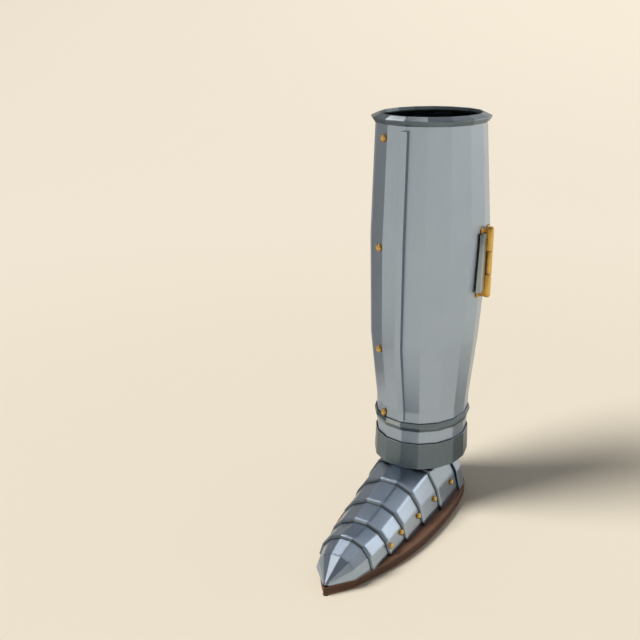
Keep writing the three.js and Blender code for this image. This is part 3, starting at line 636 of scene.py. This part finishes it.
def arch(y, place, out):
    """Places 0 to 7 go over the foot; a point between two corners is on the flat."""
    share = -y / TOE_REACH
    row = lambda k: np.interp(share, FOOT[:, 0], FOOT[:, k])
    foot, crown = row(1) * SABATON_HALF, row(7) * INSTEP
    half_x = [foot, row(2) * SABATON_HALF, row(4) * SABATON_HALF, row(6) * SABATON_HALF]
    half_z = [0 * foot, row(3) * INSTEP, row(5) * INSTEP, crown]
    half_x = [x + out * x / foot for x in half_x]
    half_z = [z + out * z / crown for z in half_z]
    all_x = np.stack(half_x + [-x for x in half_x[::-1]], -1)
    all_z = np.stack(half_z + half_z[::-1], -1)
    first = np.clip(np.floor(place), 0, 6).astype(int)
    part = place - first

    def between(values):
        start = np.take_along_axis(values, first[..., None], -1)[..., 0]
        stop = np.take_along_axis(values, first[..., None] + 1, -1)[..., 0]
        return start + (stop - start) * part

    return np.stack([between(all_x), y + 0 * part, SOLE + GAP + between(all_z)], -1)


ARCH_REACH = 0.09


def lame_out(y, front, rear):
    """How far a lame stands off the arch: its step, then level, then dipping under."""
    return np.interp(y, [front, rear, rear + LAME_OVERLAP], [LAME_STEP, 0, -LAME_DIP])


# %% Lames
THROAT_HALF, THROAT_FRONT, THROAT_REAR = 31.0, -40.0, 44.0


EDGE_LENGTH, EDGE_DROP = 0.9, 1.7
EDGE_ROWS = np.array([
    # behind the front edge, lowered by, painted shade
    [0.0, EDGE_DROP, 0.6], [0.05, EDGE_DROP - 0.1, 0.6], [EDGE_LENGTH - 0.05, 0.05, 0.6],
    [EDGE_LENGTH, 0, 0],
])


def lame_rows(front, rear, stops):
    """Places along the foot, how much the filed slope takes off, and the edge's painted shade."""
    body = samples(front + EDGE_LENGTH, rear + LAME_OVERLAP, stops, 0.8, 5.0)[1:]
    ys = np.concatenate([front + EDGE_ROWS[:, 0], body])
    lowered = np.concatenate([EDGE_ROWS[:, 1], 0 * body])
    return ys, lowered, np.concatenate([EDGE_ROWS[:, 2], 0 * body])


def lame_marks(ys, columns, edge_shade, front, rear):
    """Worn bright on the creases, a painted highlight on the crown's front edge, and painted shade
    on the edge, in the overlap and inside.
    """
    crown = (np.abs(columns - 3.5) < 0.42)[None]
    # Wear on the creases, and a painted highlight along the crown just behind the front edge.
    wear_and_sheen = np.maximum(closeness(columns, np.arange(1, 7), 0.08)[None] * 0.25,
                     closeness(ys, [front + EDGE_LENGTH / 2], 0.6)[:, None] * 0.8 * crown)
    # Painted shade: the edge wall except at the crown, the strip under the overlap, and the whole
    # inside.
    painted_shade = np.maximum(edge_shade[:, None] * (1 - 0.85 * crown),
                      0.25 * closeness(ys, [rear], 1.2)[:, None])
    inside = np.ones(painted_shade.size)
    return {"wear_and_highlight": np.concatenate([wear_and_sheen.ravel(), 0 * inside]),
            "shade_and_joints": np.concatenate([painted_shade.ravel(), inside])}


def lame_faces(ys, place, lowered, front, rear):
    """The outer and the inner grid of a lame for rows of places over the arch."""
    y = ys[:, None] + 0 * place
    off = lame_out(y, front, rear)
    outer = soften(lambda a, b: arch(a, b, off - lowered[:, None]), y, place, 0.0, ARCH_REACH)
    inner = soften(lambda a, b: arch(a, b, off - LAME_WALL), y, place, 0.0, ARCH_REACH)
    return outer, inner


def lame(number):
    """A whole lame: rows from front to rear and columns over the arch."""
    front, rear = LAME_FRONTS[number - 1], LAME_FRONTS[number]
    ys, lowered, edge_shade = lame_rows(front, rear, [rear])
    columns = samples(0, 7, np.arange(1, 7), ARCH_REACH, 0.3)
    place = np.repeat(columns[None], len(ys), 0)
    points, quads = sheet_arrays(*lame_faces(ys, place, lowered, front, rear))
    marks = lame_marks(ys, columns, edge_shade, front, rear)
    return put_mesh(f"lame_{number}_steel", points, quads, [f"lame_{number}"], "steel",
                    marks=marks)


lames = [lame(number) for number in (1, 2, 3, 4)]
print("lames:", len(lames), "with", len(lames[0].data.polygons), "faces each")

# %% [markdown]
# ## The lame with the throat, the toe cap and the heel plate
# The last lame is cut away where the ankle goes in. Its two halves share the strip in front
# of the opening, so each half is a grid whose last column follows the opening's edge. The
# toe cap closes in a point, where a whole row of its grid meets. The heel plate wraps round
# the back of the foot.

# %% Last lame
def throat_side(ys):
    """Half width of the ankle's opening at each row, an ellipse cut short by the rear."""
    middle, reach = (THROAT_FRONT + THROAT_REAR) / 2, (THROAT_REAR - THROAT_FRONT) / 2
    inside = 1 - ((ys - middle) / reach) ** 2
    return THROAT_HALF * np.sqrt(np.clip(inside, 0, 1)) * (ys > THROAT_FRONT)


def last_lame():
    """Half a lame whose last column runs down the opening's edge, and its mirror image."""
    front, rear = LAME_FRONTS[4], LAME_FRONTS[5]
    edge, lowered, edge_shade = lame_rows(front, THROAT_FRONT - LAME_OVERLAP - 0.05, [])
    curve = THROAT_FRONT + (rear + LAME_OVERLAP - THROAT_FRONT) * np.linspace(0, 1, 60)[1:] ** 2.2
    ys = np.concatenate([edge, curve])
    lowered, edge_shade = (np.concatenate([row, 0 * curve]) for row in (lowered, edge_shade))
    trial = np.linspace(0, 3.5, 701)
    x = arch(ys[:, None] + 0 * trial, trial[None] + 0 * ys[:, None],
             lame_out(ys, front, rear)[:, None])[..., 0]
    cut = trial[np.abs(x - throat_side(ys)[:, None]).argmin(1)]
    base = samples(0, 3.5, np.arange(1, 4), ARCH_REACH, 0.3)
    place = np.minimum(base[None], cut[:, None] - (3.5 - base)[None] * 1e-3)
    outer, inner = lame_faces(ys, np.maximum(place, 0), lowered, front, rear)
    closed = ys < THROAT_FRONT + 1e-6
    outer[closed, -1, 0] = inner[closed, -1, 0] = 0
    mirror = np.array([-1.0, 1.0, 1.0])
    outer, inner = (np.concatenate([g, g[:, ::-1] * mirror], 1) for g in (outer, inner))
    marks = lame_marks(ys, np.concatenate([base, 7 - base[::-1]]), edge_shade, front, rear + 99)
    return outer, inner, closed, len(base), marks


outer, inner, closed, half, marks = last_lame()
rows, columns = outer.shape[:2]
bands = []
for span in (slice(0, half), slice(half, columns)):
    points, quads = sheet_arrays(outer[:, span], inner[:, span])
    number = np.arange(rows * columns).reshape(rows, columns)[:, span].ravel()
    bands.append(np.concatenate([number, number + rows * columns])[quads])
index = np.arange(rows * columns).reshape(rows, columns)
left, right = index[: int(closed.sum()), half - 1], index[: int(closed.sum()), half]
seam_walls = {tuple(sorted((a, b, a + rows * columns, b + rows * columns)))
              for line in (left, right) for a, b in zip(line, line[1:])}
quads = np.concatenate(bands)
quads = quads[[tuple(sorted(face)) not in seam_walls for face in quads.tolist()]]
points = np.concatenate([outer.reshape(-1, 3), inner.reshape(-1, 3)])
lame_five = put_mesh("lame_5_steel", points, quads, ["lame_5"], "steel", marks=marks)
weld = lame_five.modifiers.new("join_the_halves", "WELD")
weld.merge_threshold = 0.00001
print("last lame:", len(lame_five.data.polygons), "faces")

# %% Toe cap
cap_rows = samples(-0.995 * TOE_REACH, LAME_FRONTS[0] + LAME_OVERLAP,
                   [-0.893 * TOE_REACH, LAME_FRONTS[0]], 1.2, 5.0)
columns = samples(0, 7, np.arange(1, 7), ARCH_REACH, 0.3)
y, place = np.meshgrid(cap_rows, columns, indexing="ij")


def cap_out(values):
    """The cap keeps to the arch, then dips under the first lame."""
    return np.interp(values, [LAME_FRONTS[0], LAME_FRONTS[0] + LAME_OVERLAP], [0, -LAME_DIP])


outer = soften(lambda a, b: arch(a, b, cap_out(y)), y, place, 1.2, ARCH_REACH)
tip_height = outer[0, :, 2].mean()
outer[0] = [0, -0.995 * TOE_REACH, tip_height]
inner_y = np.maximum(y, -0.965 * TOE_REACH)
inner = soften(lambda a, b: arch(a, b, cap_out(inner_y) - LAME_WALL), inner_y, place,
               0.4, ARCH_REACH)
inner_y_floor = inner[:, :, 2] < SOLE + GAP
inner[inner_y_floor, 2] = SOLE + GAP
inner[0] = [0, -0.965 * TOE_REACH, SOLE + GAP + 0.6]
points, quads = sheet_arrays(outer, inner)
wear_and_sheen = closeness(columns, np.arange(1, 7), 0.08)[None] * 0.25 + 0 * y
wear_and_sheen = np.maximum(wear_and_sheen, closeness(cap_rows, [cap_rows[0]], 7.0)[:, None] * 0.6)
# Painted shade under the first lame's overlap and over the whole inside.
painted_shade = 0.25 * closeness(cap_rows, [LAME_FRONTS[0]], 1.2)[:, None] + 0 * wear_and_sheen
toe_cap = put_mesh(
    "toe_cap_steel", points, quads, ["toe_cap"], "steel",
    marks={"wear_and_highlight": np.concatenate([wear_and_sheen.ravel(), 0 * wear_and_sheen.ravel()]),
           "shade_and_joints": np.concatenate([painted_shade.ravel(), 0 * wear_and_sheen.ravel() + 1])})

# %% Heel plate
HEEL_PLAN = np.array([[1, 0.06], [0.985, 0.33], [0.80, 0.62], [0.55, 0.83], [0.22, 0.965],
                      [0, 0.985]])
HEEL_LEVELS = np.array([[0, 1.057, 0.985], [0.505, 0.957, 0.975], [0.938, 0.725, 0.90],
                        [1.05, 0.667, 0.86]])
plan_side = np.concatenate([HEEL_PLAN[:, 0], -HEEL_PLAN[-2::-1, 0]])
plan_back = np.concatenate([HEEL_PLAN[:, 1], HEEL_PLAN[-2::-1, 1]])


def heel(level, place, out):
    """Rings of the plan, drawn in sideways and lengthways as they rise."""
    steps = np.arange(4)
    height = SOLE + GAP + INSTEP * np.interp(level, steps, HEEL_LEVELS[:, 0])
    side = np.interp(place, np.arange(11), plan_side)
    back = np.interp(place, np.arange(11), plan_back)
    x = side * np.interp(level, steps, HEEL_LEVELS[:, 1]) * SABATON_HALF + out * side
    y = back * np.interp(level, steps, HEEL_LEVELS[:, 2]) * HEEL_REACH + out * back
    edge = np.interp(place, [0, 1, 9, 10], [1, 0, 0, 1])
    y = y * (1 - edge) + LAME_FRONTS[5] * edge
    return np.stack([x, y, height], -1)


levels = samples(0, 3, [1, 2], 0.06, 0.2)
places = samples(0, 10, np.arange(1, 10), 0.12, 0.34)
q, p = np.meshgrid(levels, places, indexing="ij")
outer = soften(lambda a, b: heel(np.clip(a, 0, 3), np.clip(b, 0, 10), 0), q, p, 0.06, 0.12)
inner = soften(lambda a, b: heel(np.clip(a, 0, 3), np.clip(b, 0, 10), -LAME_WALL), q, p,
               0.06, 0.12)
points, quads = sheet_arrays(outer, inner)
wear_and_sheen = np.maximum(closeness(levels, [3], 0.1)[:, None] * 0.8,
                 closeness(levels, [1, 2], 0.05)[:, None] * 0.25)
wear_and_sheen = np.maximum(wear_and_sheen + 0 * p, closeness(places, [0, 10], 0.05)[None] * 0.5)
# The inner face is painted dark all over, as shade.
heel_plate = file_edges(put_mesh(
    "heel_plate_steel", points, quads, ["heel_plate"], "steel",
    marks={"wear_and_highlight": np.concatenate([wear_and_sheen.ravel(), 0.2 * wear_and_sheen.ravel()]),
           "shade_and_joints": np.concatenate([0 * wear_and_sheen.ravel(), 0 * wear_and_sheen.ravel() + 1])}), 0.35, segments=2)

# %% Rivets of the lames
RIVETS = [
    # share of the toe's reach, height over the sole as a share of the instep, the lame under
    # the head, what the rivet holds
    (0.6546, 0.226, 2, 2.75 * LAME_WALL), (0.5501, 0.280, 2, LAME_WALL),
    (0.3961, 0.306, 3, LAME_WALL), (0.2400, 0.373, 4, LAME_WALL), (0.0538, 0.380, 5, LAME_WALL),
]
for number, (share, height, under, wall) in enumerate(RIVETS, 1):
    y = -share * TOE_REACH
    front, rear = LAME_FRONTS[under - 1], LAME_FRONTS[under]
    at = lambda where, place: arch(np.array(float(where)), np.array(float(place)),
                                   LAME_STEP * (rear - where) / (rear - front))
    foot, hip = at(y, 0), at(y, 1)
    point = foot + (hip - foot) * height * INSTEP / (hip[2] - foot[2])
    normal = np.cross(at(rear, 1) - at(front, 1), hip - foot)
    normal *= np.sign(normal[0]) / np.linalg.norm(normal)
    spin(f"lame_rivet_{number}_brass", [f"lame_rivet_{number}"], "brass",
         rivet_profile(LAME_RIVET, wall), point + GAP * normal, normal)

# %% [markdown]
# ## The sole
# The sole is thick leather built up in layers, cut to a pointed outline and trimmed with a
# knife. The outline is a closed line through the table's points, softened, and the side is
# a short outline of inset and height with a groove at each layer.

# %% Sole
SOLE_OUTER, SOLE_INNER = 54.5, 49.5
OUTLINE = np.array([
    [0.955, 0.165], [0.905, 0.325], [0.860, 0.42], [0.785, 0.55], [0.697, 0.70], [0.603, 0.815],
    [0.491, 0.91], [0.363, 0.97], [0.214, 1.0], [0.043, 0.98], [-0.085, 0.905], [-0.158, 0.76],
    [-0.212, 0.53], [-0.243, 0.24],
])
right = np.stack([OUTLINE[:, 1] * SOLE_OUTER, -OUTLINE[:, 0] * TOE_REACH], -1)
left = right[::-1] * [-SOLE_INNER / SOLE_OUTER, 1]
loop = np.concatenate([[[0, -TOE_REACH]], right, [[0, HEEL_REACH]], left])
number = len(loop)
closed = np.concatenate([loop, loop[:1]])
step = samples(0, number, np.arange(1, number), 0.32, 0.16)[:-1]
step = np.unique(np.concatenate([step, [0.02, number - 0.02]]))


def outline(value):
    """A point of the closed line through the outline's corners."""
    turn = np.mod(value, number)
    return np.stack([np.interp(turn, np.arange(number + 1), closed[:, k]) for k in (0, 1)], -1)


line = sum(outline(step + shift) for shift in TAPS * 0.3) / len(TAPS)
sharp = closeness(np.minimum(step, number - step), [0], 0.3)[:, None]
line = line * (1 - sharp) + outline(step) * sharp
along = np.roll(line, -1, 0) - np.roll(line, 1, 0)
normal = np.stack([along[:, 1], -along[:, 0]], -1)
normal /= np.linalg.norm(normal, axis=1, keepdims=True)
SIDE = np.array([
    # inset, height
    [4.0, 0], [0.9, 0], [0.3, 0.25], [0.05, 0.9], [0.05, 3.0], [0.3, 3.3], [0.05, 3.6],
    [0.05, 6.4], [0.3, 6.7], [0.05, 7.0], [0.05, 9.2], [0.25, 9.75], [0.8, 10], [4.0, 10],
])
flat = line[None] - normal[None] * SIDE[:, :1, None] * np.sign(
    np.einsum("ij,ij->", normal, line))
rings = np.concatenate(
    [flat, np.broadcast_to(SIDE[:, 1:, None], (len(SIDE), len(step), 1))], -1)
points, quads, caps = tube_arrays(rings)
edge = closeness(SIDE[:, 1], [0, 10], 0.7)[:, None] + 0 * step[None]
groove = closeness(SIDE[:, 1], [3.3, 6.7], 0.35)[:, None] + 0 * step[None]
sole = put_mesh("sole_leather_stack", points, quads, ["sole"], "sole_leather", caps,
                {"wear_and_highlight": edge, "shade_and_joints": groove})
print("sole:", len(sole.data.polygons), "faces, outline of", len(step), "points")

# %% [markdown]
# ## Finishes
# Each finish starts from what the real material is. One helper adds a node with its
# settings and links, and one function turns the usual hex colours into the linear values
# that Blender mixes. Patterns read Object coordinates, which are metres here, so a scale of
# 1000 / s repeats a pattern about every s millimetres.

# %% Colour and node helpers
def linear(hex_colour):
    """sRGB hex to linear red, green, blue and alpha."""
    values = np.array([int(hex_colour[k:k + 2], 16) for k in (1, 3, 5)]) / 255
    low, high = values / 12.92, ((values + 0.055) / 1.055) ** 2.4
    return (*np.where(values <= 0.04045, low, high).tolist(), 1.0)


def add(tree, kind, inputs=None, **settings):
    """One node: its settings as attributes, and its inputs as values or as links."""
    node = tree.nodes.new(kind)
    for key, value in settings.items():
        setattr(node, key, value)
    for key, value in (inputs or {}).items():
        if isinstance(value, bpy.types.NodeSocket):
            tree.links.new(value, node.inputs[key])
        else:
            node.inputs[key].default_value = value
    return node


def new_material(name):
    """An empty node tree with its output, its shader and the object's coordinates."""
    material = bpy.data.materials.new(name)
    material.use_nodes = True
    tree = material.node_tree
    tree.nodes.clear()
    shader = add(tree, "ShaderNodeBsdfPrincipled")
    add(tree, "ShaderNodeOutputMaterial", {"Surface": shader.outputs[0]})
    coordinates = add(tree, "ShaderNodeTexCoord").outputs["Object"]
    return material, tree, shader, coordinates


# %% [markdown]
# ### Planished steel
# Carbon steel plate, hammered to shape, planished with flat-faced hammers and brushed up and
# down. It reflects softly and its borders are rubbed bright. Some faces carry a painted highlight,
# and painted shade darkens the inside, the filed edge walls, the ridge's side and the steel under
# the overlaps. Metals take their colour from the reflection, so a bluish base under a cream floor
# reads as cold grey. The dark bands are the same steel, blackened in oil.

# %% Steel finishes
def blend(tree, share, first, second):
    """Two colours mixed by a share; each is a socket or a linear colour."""
    return add(tree, "ShaderNodeMix", {0: share, 6: first, 7: second},
               data_type="RGBA").outputs[2]


def stretch(tree, value, low, high, start=0.0, stop=1.0):
    """A value from low to high turned into one from start to stop."""
    return add(tree, "ShaderNodeMapRange", {
        "Value": value, "From Min": low, "From Max": high, "To Min": start,
        "To Max": stop}).outputs[0]


def combine(tree, kind, first, second):
    """Two values added or multiplied."""
    return add(tree, "ShaderNodeMath", {0: first, 1: second}, operation=kind).outputs[0]


def steel_finish(name, body, bright, dark, rough):
    """Brushed streaks, faint hammer marks, rubbed borders with painted highlights, and painted
    shade.
    """
    material, tree, shader, place = new_material(name)
    streak_map = add(tree, "ShaderNodeMapping", {"Vector": place, "Scale": (1, 1, 0.05)})
    streaks = add(tree, "ShaderNodeTexNoise", {
        "Vector": streak_map.outputs[0], "Scale": 1000 / 0.9, "Detail": 4}).outputs[0]
    cloud = add(tree, "ShaderNodeTexNoise", {
        "Vector": place, "Scale": 1000 / 42, "Detail": 4}).outputs[0]
    hammer = add(tree, "ShaderNodeTexVoronoi", {
        "Vector": place, "Scale": 1000 / 14, "Smoothness": 1.0},
        feature="SMOOTH_F1").outputs[0]
    speck = add(tree, "ShaderNodeTexNoise", {
        "Vector": place, "Scale": 1000 / 2.5, "Detail": 3}).outputs[0]
    wear_and_highlight = add(tree, "ShaderNodeAttribute", attribute_name="wear_and_highlight").outputs["Fac"]
    shade_and_joints = add(tree, "ShaderNodeAttribute", attribute_name="shade_and_joints").outputs["Fac"]
    tone = combine(tree, "ADD", streaks, cloud)
    base = blend(tree, stretch(tree, tone, 0.65, 1.35), linear(body[0]), linear(body[1]))
    # Wear and painted highlights both mix in the bright colour.
    wear_and_highlight_share = stretch(tree, combine(tree, "MULTIPLY", wear_and_highlight, cloud), 0.15, 0.6)
    worn_and_highlit = blend(tree, wear_and_highlight_share, base, linear(bright))
    # Painted shade: the dark colour is mixed in by the shade mark.
    patina_and_shade = stretch(tree, shade_and_joints, 0, 1, 0, 0.86)
    tree.links.new(blend(tree, patina_and_shade, worn_and_highlit, linear(dark)), shader.inputs["Base Color"])
    tree.links.new(stretch(tree, tone, 0.7, 1.3, *rough), shader.inputs["Roughness"])
    shader.inputs["Metallic"].default_value = 1.0
    normal = None
    for height, strength, distance in (
            (hammer, 0.07, 0.0010), (streaks, 0.02, 0.0002), (speck, 0.04, 0.0003)):
        bump = {"Height": height, "Strength": strength, "Distance": distance}
        if normal is not None:
            bump["Normal"] = normal
        normal = add(tree, "ShaderNodeBump", bump).outputs[0]
    tree.links.new(normal, shader.inputs["Normal"])
    return material


# The last colour of each is the painted shade colour; the bright one serves wear and painted
# highlights.
plate_steel = steel_finish("planished_steel", ("#A3B3C8", "#ABBACD"), "#D0DAE4", "#2B3036",
                           (0.31, 0.38))
black_steel = steel_finish("blackened_steel", ("#66747F", "#74828D"), "#D0DAE2", "#16191D",
                           (0.34, 0.42))

# %% [markdown]
# ### Brass
# Cast and filed brass, once bright and now handled: warm yellow with a browner film in
# cloudy patches and clean metal where it is rubbed.

# %% Brass
def brass_finish():
    """Yellow metal with a brown film that noise and rubbing break up."""
    material, tree, shader, place = new_material("handled_brass")
    cloud = add(tree, "ShaderNodeTexNoise", {"Vector": place, "Scale": 180, "Detail": 4})
    fine = add(tree, "ShaderNodeTexNoise", {"Vector": place, "Scale": 900, "Detail": 3})
    wear_and_highlight = add(tree, "ShaderNodeAttribute", attribute_name="wear_and_highlight")
    patina_and_shade = add(tree, "ShaderNodeMapRange", {
        "Value": cloud.outputs[0], "From Min": 0.35, "From Max": 0.7, "To Min": 0.55,
        "To Max": 0.0})
    base = add(tree, "ShaderNodeMix", {
        0: patina_and_shade.outputs[0], 6: linear("#D8AE5E"), 7: linear("#A87B38")}, data_type="RGBA")
    clean = add(tree, "ShaderNodeMix", {
        0: wear_and_highlight.outputs["Fac"], 6: base.outputs[2], 7: linear("#E8C274")}, data_type="RGBA")
    tree.links.new(clean.outputs[2], shader.inputs["Base Color"])
    rough = add(tree, "ShaderNodeMapRange", {
        "Value": cloud.outputs[0], "From Min": 0.3, "From Max": 0.7, "To Min": 0.5,
        "To Max": 0.38})
    tree.links.new(rough.outputs[0], shader.inputs["Roughness"])
    shader.inputs["Metallic"].default_value = 0.9
    bump = add(tree, "ShaderNodeBump", {
        "Height": fine.outputs[0], "Strength": 0.12, "Distance": 0.0003})
    tree.links.new(bump.outputs[0], shader.inputs["Normal"])
    return material


brass = brass_finish()

# %% [markdown]
# ### Leather
# The straps are oiled harness leather: dark brown, a fine pebbled grain of under a
# millimetre and lighter, burnished edges. The sole is thick vegetable-tanned leather, dry
# and matte, and its side shows the cut layers. Leather is not metallic and its index of
# refraction is about 1.5.

# %% Leather finishes
def leather_finish(name, colours, edge, groove, grain_mm, rough, layered):
    """Pebbled grain, cloudy colour, lighter edges and darker grooves."""
    material, tree, shader, place = new_material(name)
    cloud = add(tree, "ShaderNodeTexNoise", {"Vector": place, "Scale": 45, "Detail": 5})
    pebble = add(tree, "ShaderNodeTexVoronoi", {"Vector": place, "Scale": 1000 / grain_mm})
    fibre_map = add(tree, "ShaderNodeMapping", {
        "Vector": place, "Scale": (1, 1, 9) if layered else (1, 1, 1)})
    fibre = add(tree, "ShaderNodeTexNoise", {
        "Vector": fibre_map.outputs[0], "Scale": 160, "Detail": 5, "Roughness": 0.65})
    wear_and_highlight = add(tree, "ShaderNodeAttribute", attribute_name="wear_and_highlight")
    shade_and_joints = add(tree, "ShaderNodeAttribute", attribute_name="shade_and_joints")
    tone = add(tree, "ShaderNodeMath", {0: cloud.outputs[0], 1: fibre.outputs[0]},
               operation="ADD")
    tone_ramp = add(tree, "ShaderNodeMapRange", {
        "Value": tone.outputs[0], "From Min": 0.7, "From Max": 1.3})
    base = add(tree, "ShaderNodeMix", {
        0: tone_ramp.outputs[0], 6: linear(colours[0]), 7: linear(colours[1])},
        data_type="RGBA")
    wear_and_sheen = add(tree, "ShaderNodeMath", {0: wear_and_highlight.outputs["Fac"], 1: fibre.outputs[0]},
              operation="MULTIPLY")
    edged = add(tree, "ShaderNodeMix", {
        0: wear_and_sheen.outputs[0], 6: base.outputs[2], 7: linear(edge)}, data_type="RGBA")
    grooved = add(tree, "ShaderNodeMix", {
        0: shade_and_joints.outputs["Fac"], 6: edged.outputs[2], 7: linear(groove)}, data_type="RGBA")
    tree.links.new(grooved.outputs[2], shader.inputs["Base Color"])
    rough_ramp = add(tree, "ShaderNodeMapRange", {
        "Value": tone.outputs[0], "From Min": 0.7, "From Max": 1.3, "To Min": rough[0],
        "To Max": rough[1]})
    tree.links.new(rough_ramp.outputs[0], shader.inputs["Roughness"])
    shader.inputs["IOR"].default_value = 1.5
    grain = add(tree, "ShaderNodeBump", {
        "Height": pebble.outputs[0], "Strength": 0.35, "Distance": 0.0003})
    fuzz = add(tree, "ShaderNodeBump", {
        "Height": fibre.outputs[0], "Strength": 0.3, "Distance": 0.0005,
        "Normal": grain.outputs[0]})
    tree.links.new(fuzz.outputs[0], shader.inputs["Normal"])
    return material


strap_leather = leather_finish("oiled_strap_leather", ("#35261A", "#54402E"), "#6E5540",
                               "#1E150E", 0.9, (0.42, 0.6), False)
sole_leather = leather_finish("layered_sole_leather", ("#553829", "#7B5644"), "#8B6650",
                              "#35231A", 1.4, (0.62, 0.85), True)

# %% Give every piece its finish
BY_SLOT = {"steel": plate_steel, "dark_steel": black_steel, "brass": brass,
           "strap_leather": strap_leather, "sole_leather": sole_leather}
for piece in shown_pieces():
    if "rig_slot" in piece:
        piece.data.materials.clear()
        piece.data.materials.append(BY_SLOT[piece["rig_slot"]])
print("finishes:", sorted(material.name for material in BY_SLOT.values()))

# %% [markdown]
# ## The studio
# The floor is one pale, matte sheet that climbs gently far away on all sides, so no horizon
# shows; its colour is painted a little darker near the greave, as shade. The key light comes from
# the left front and high. It is wide, so its shadow to the right is soft. Metal shows what it
# reflects, so five soft panels hang behind and overhead just for it: they are left out of
# diffuse light and the floor does not get them. A grey card stands at the left, out of the
# picture, and gives the inner facets something darker to reflect. The even light of the room fills
# the rest.

# %% Floor
FLAT, BEND, REACH, SLOPE = 2.0, 24.0, 70.0, math.radians(18)
climb = np.linspace(0, SLOPE, 25)
radius = np.concatenate([[0.001, 0.5, 1], FLAT + BEND * np.sin(climb), [REACH]])
height = np.concatenate([[0, 0, 0], BEND * (1 - np.cos(climb))])
height = np.append(height, height[-1] + (REACH - radius[-2]) * math.tan(SLOPE))
turn = np.linspace(0, 2 * math.pi, 96, endpoint=False)
bowl = np.stack([radius[:, None] * np.cos(turn), radius[:, None] * np.sin(turn),
                 np.repeat(height[:, None] - 0.0002, len(turn), 1)], -1)
points, quads, _ = tube_arrays(bowl)
floor_mesh = bpy.data.meshes.new("studio_floor")
floor_mesh.from_pydata(points.tolist(), [], quads.tolist())
floor_mesh.shade_smooth()
floor = bpy.data.objects.new("studio_floor", floor_mesh)
bpy.context.scene.collection.objects.link(floor)
paper, tree, shader, place = new_material("matte_backdrop_paper")
distance = add(tree, "ShaderNodeVectorMath", {0: place}, operation="LENGTH").outputs["Value"]
# Painted shade: the paper is darker within 0.3 m of the greave and reaches its lighter colour 1.5 m
# away.
painted_shade_falloff = add(tree, "ShaderNodeMapRange", {"Value": distance, "From Min": 0.3, "From Max": 1.5},
          interpolation_type="SMOOTHSTEP").outputs[0]
tree.links.new(blend(tree, painted_shade_falloff, linear("#EEE4D2"), linear("#F3EADA")),
               shader.inputs["Base Color"])
shader.inputs["Roughness"].default_value = 0.9
shader.inputs["Specular IOR Level"].default_value = 0.15
floor_mesh.materials.append(paper)

# %% Lights and camera
world = bpy.data.worlds.new("studio_room")
bpy.context.scene.world = world
world.use_nodes = True
room = world.node_tree.nodes["Background"].inputs
room["Color"].default_value = linear("#F2F7FF")
room["Strength"].default_value = 0.175


def add_light(name, kind, towards, distance, target, strength, colour, **settings):
    """A lamp that stands in a direction from a target, at a distance, and looks at it."""
    data = bpy.data.lights.new(name, kind)
    data.energy = strength
    data.color = linear(colour)[:3]
    for key, value in settings.items():
        setattr(data, key, value)
    light = bpy.data.objects.new(name, data)
    bpy.context.scene.collection.objects.link(light)
    away = np.array(towards, float) / np.linalg.norm(towards)
    light.location = (np.array(target) + away * distance).tolist()
    light.rotation_euler = (math.acos(away[2]), 0, math.atan2(away[0], -away[1]))
    return light


key = add_light("key_light", "SUN", (-0.491, -0.454, 0.743), 3, (0, 0, 0.2), 3.3, "#FFFDF8",
                angle=math.radians(26))
key.visible_glossy = False
panels = [
    add_light("front_panel", "AREA", (-0.44, -0.45, 0.78), 2.3, (0, 0, 0.1), 7.5, "#FFF3E2",
              shape="SQUARE", size=1.0),
    add_light("overhead_panel", "AREA", (-0.53, 0.35, 0.77), 2.3, (0, 0, 0.4), 4.8, "#FFFAF2",
              shape="DISK", size=0.5),
    add_light("rear_panel", "AREA", (0.12, 0.78, 0.61), 2.4, (0, 0, 0.3), 6.5, "#FFF9F0",
              shape="SQUARE", size=1.8),
    add_light("top_panel", "AREA", (0.25, 0.05, 0.97), 2.2, (0, 0, 0.1), 3.5, "#FFF9F0",
              shape="SQUARE", size=1.6),
    add_light("right_rear_panel", "AREA", (0.62, 0.63, 0.445), 2.4, (0, 0, 0.2), 9.8,
              "#FFFBF4", shape="SQUARE", size=1.3),
]
for panel in panels:
    panel.visible_diffuse = False

# %% Grey card for the metal to reflect
card_points = np.array([
    [-280, -320, 0], [-280, 300, 0], [-280, 300, 460], [-280, -90, 460], [-280, -90, 120],
    [-280, -320, 60]])
card_mesh = bpy.data.meshes.new("grey_card")
card_mesh.from_pydata((card_points * MM).tolist(), [], [[0, 1, 2, 3, 4, 5]])
card = bpy.data.objects.new("grey_card", card_mesh)
bpy.context.scene.collection.objects.link(card)
card.visible_camera = card.visible_diffuse = card.visible_shadow = False
grey, tree, shader, place = new_material("grey_card_paper")
shader.inputs["Base Color"].default_value = linear("#C6C7CB")
shader.inputs["Roughness"].default_value = 0.9
card_mesh.materials.append(grey)

# %% Camera

camera_data = bpy.data.cameras.new("photo_camera")
camera_data.sensor_width = 36
camera_data.lens = 49.455
camera = bpy.data.objects.new("photo_camera", camera_data)
bpy.context.scene.collection.objects.link(camera)
camera.location = (0.3389, -0.8552, 0.5191)
camera.rotation_euler = (math.pi / 2 - 0.32761, 0, 0.50345)
bpy.context.scene.camera = camera
bpy.context.scene.view_settings.view_transform = "Standard"
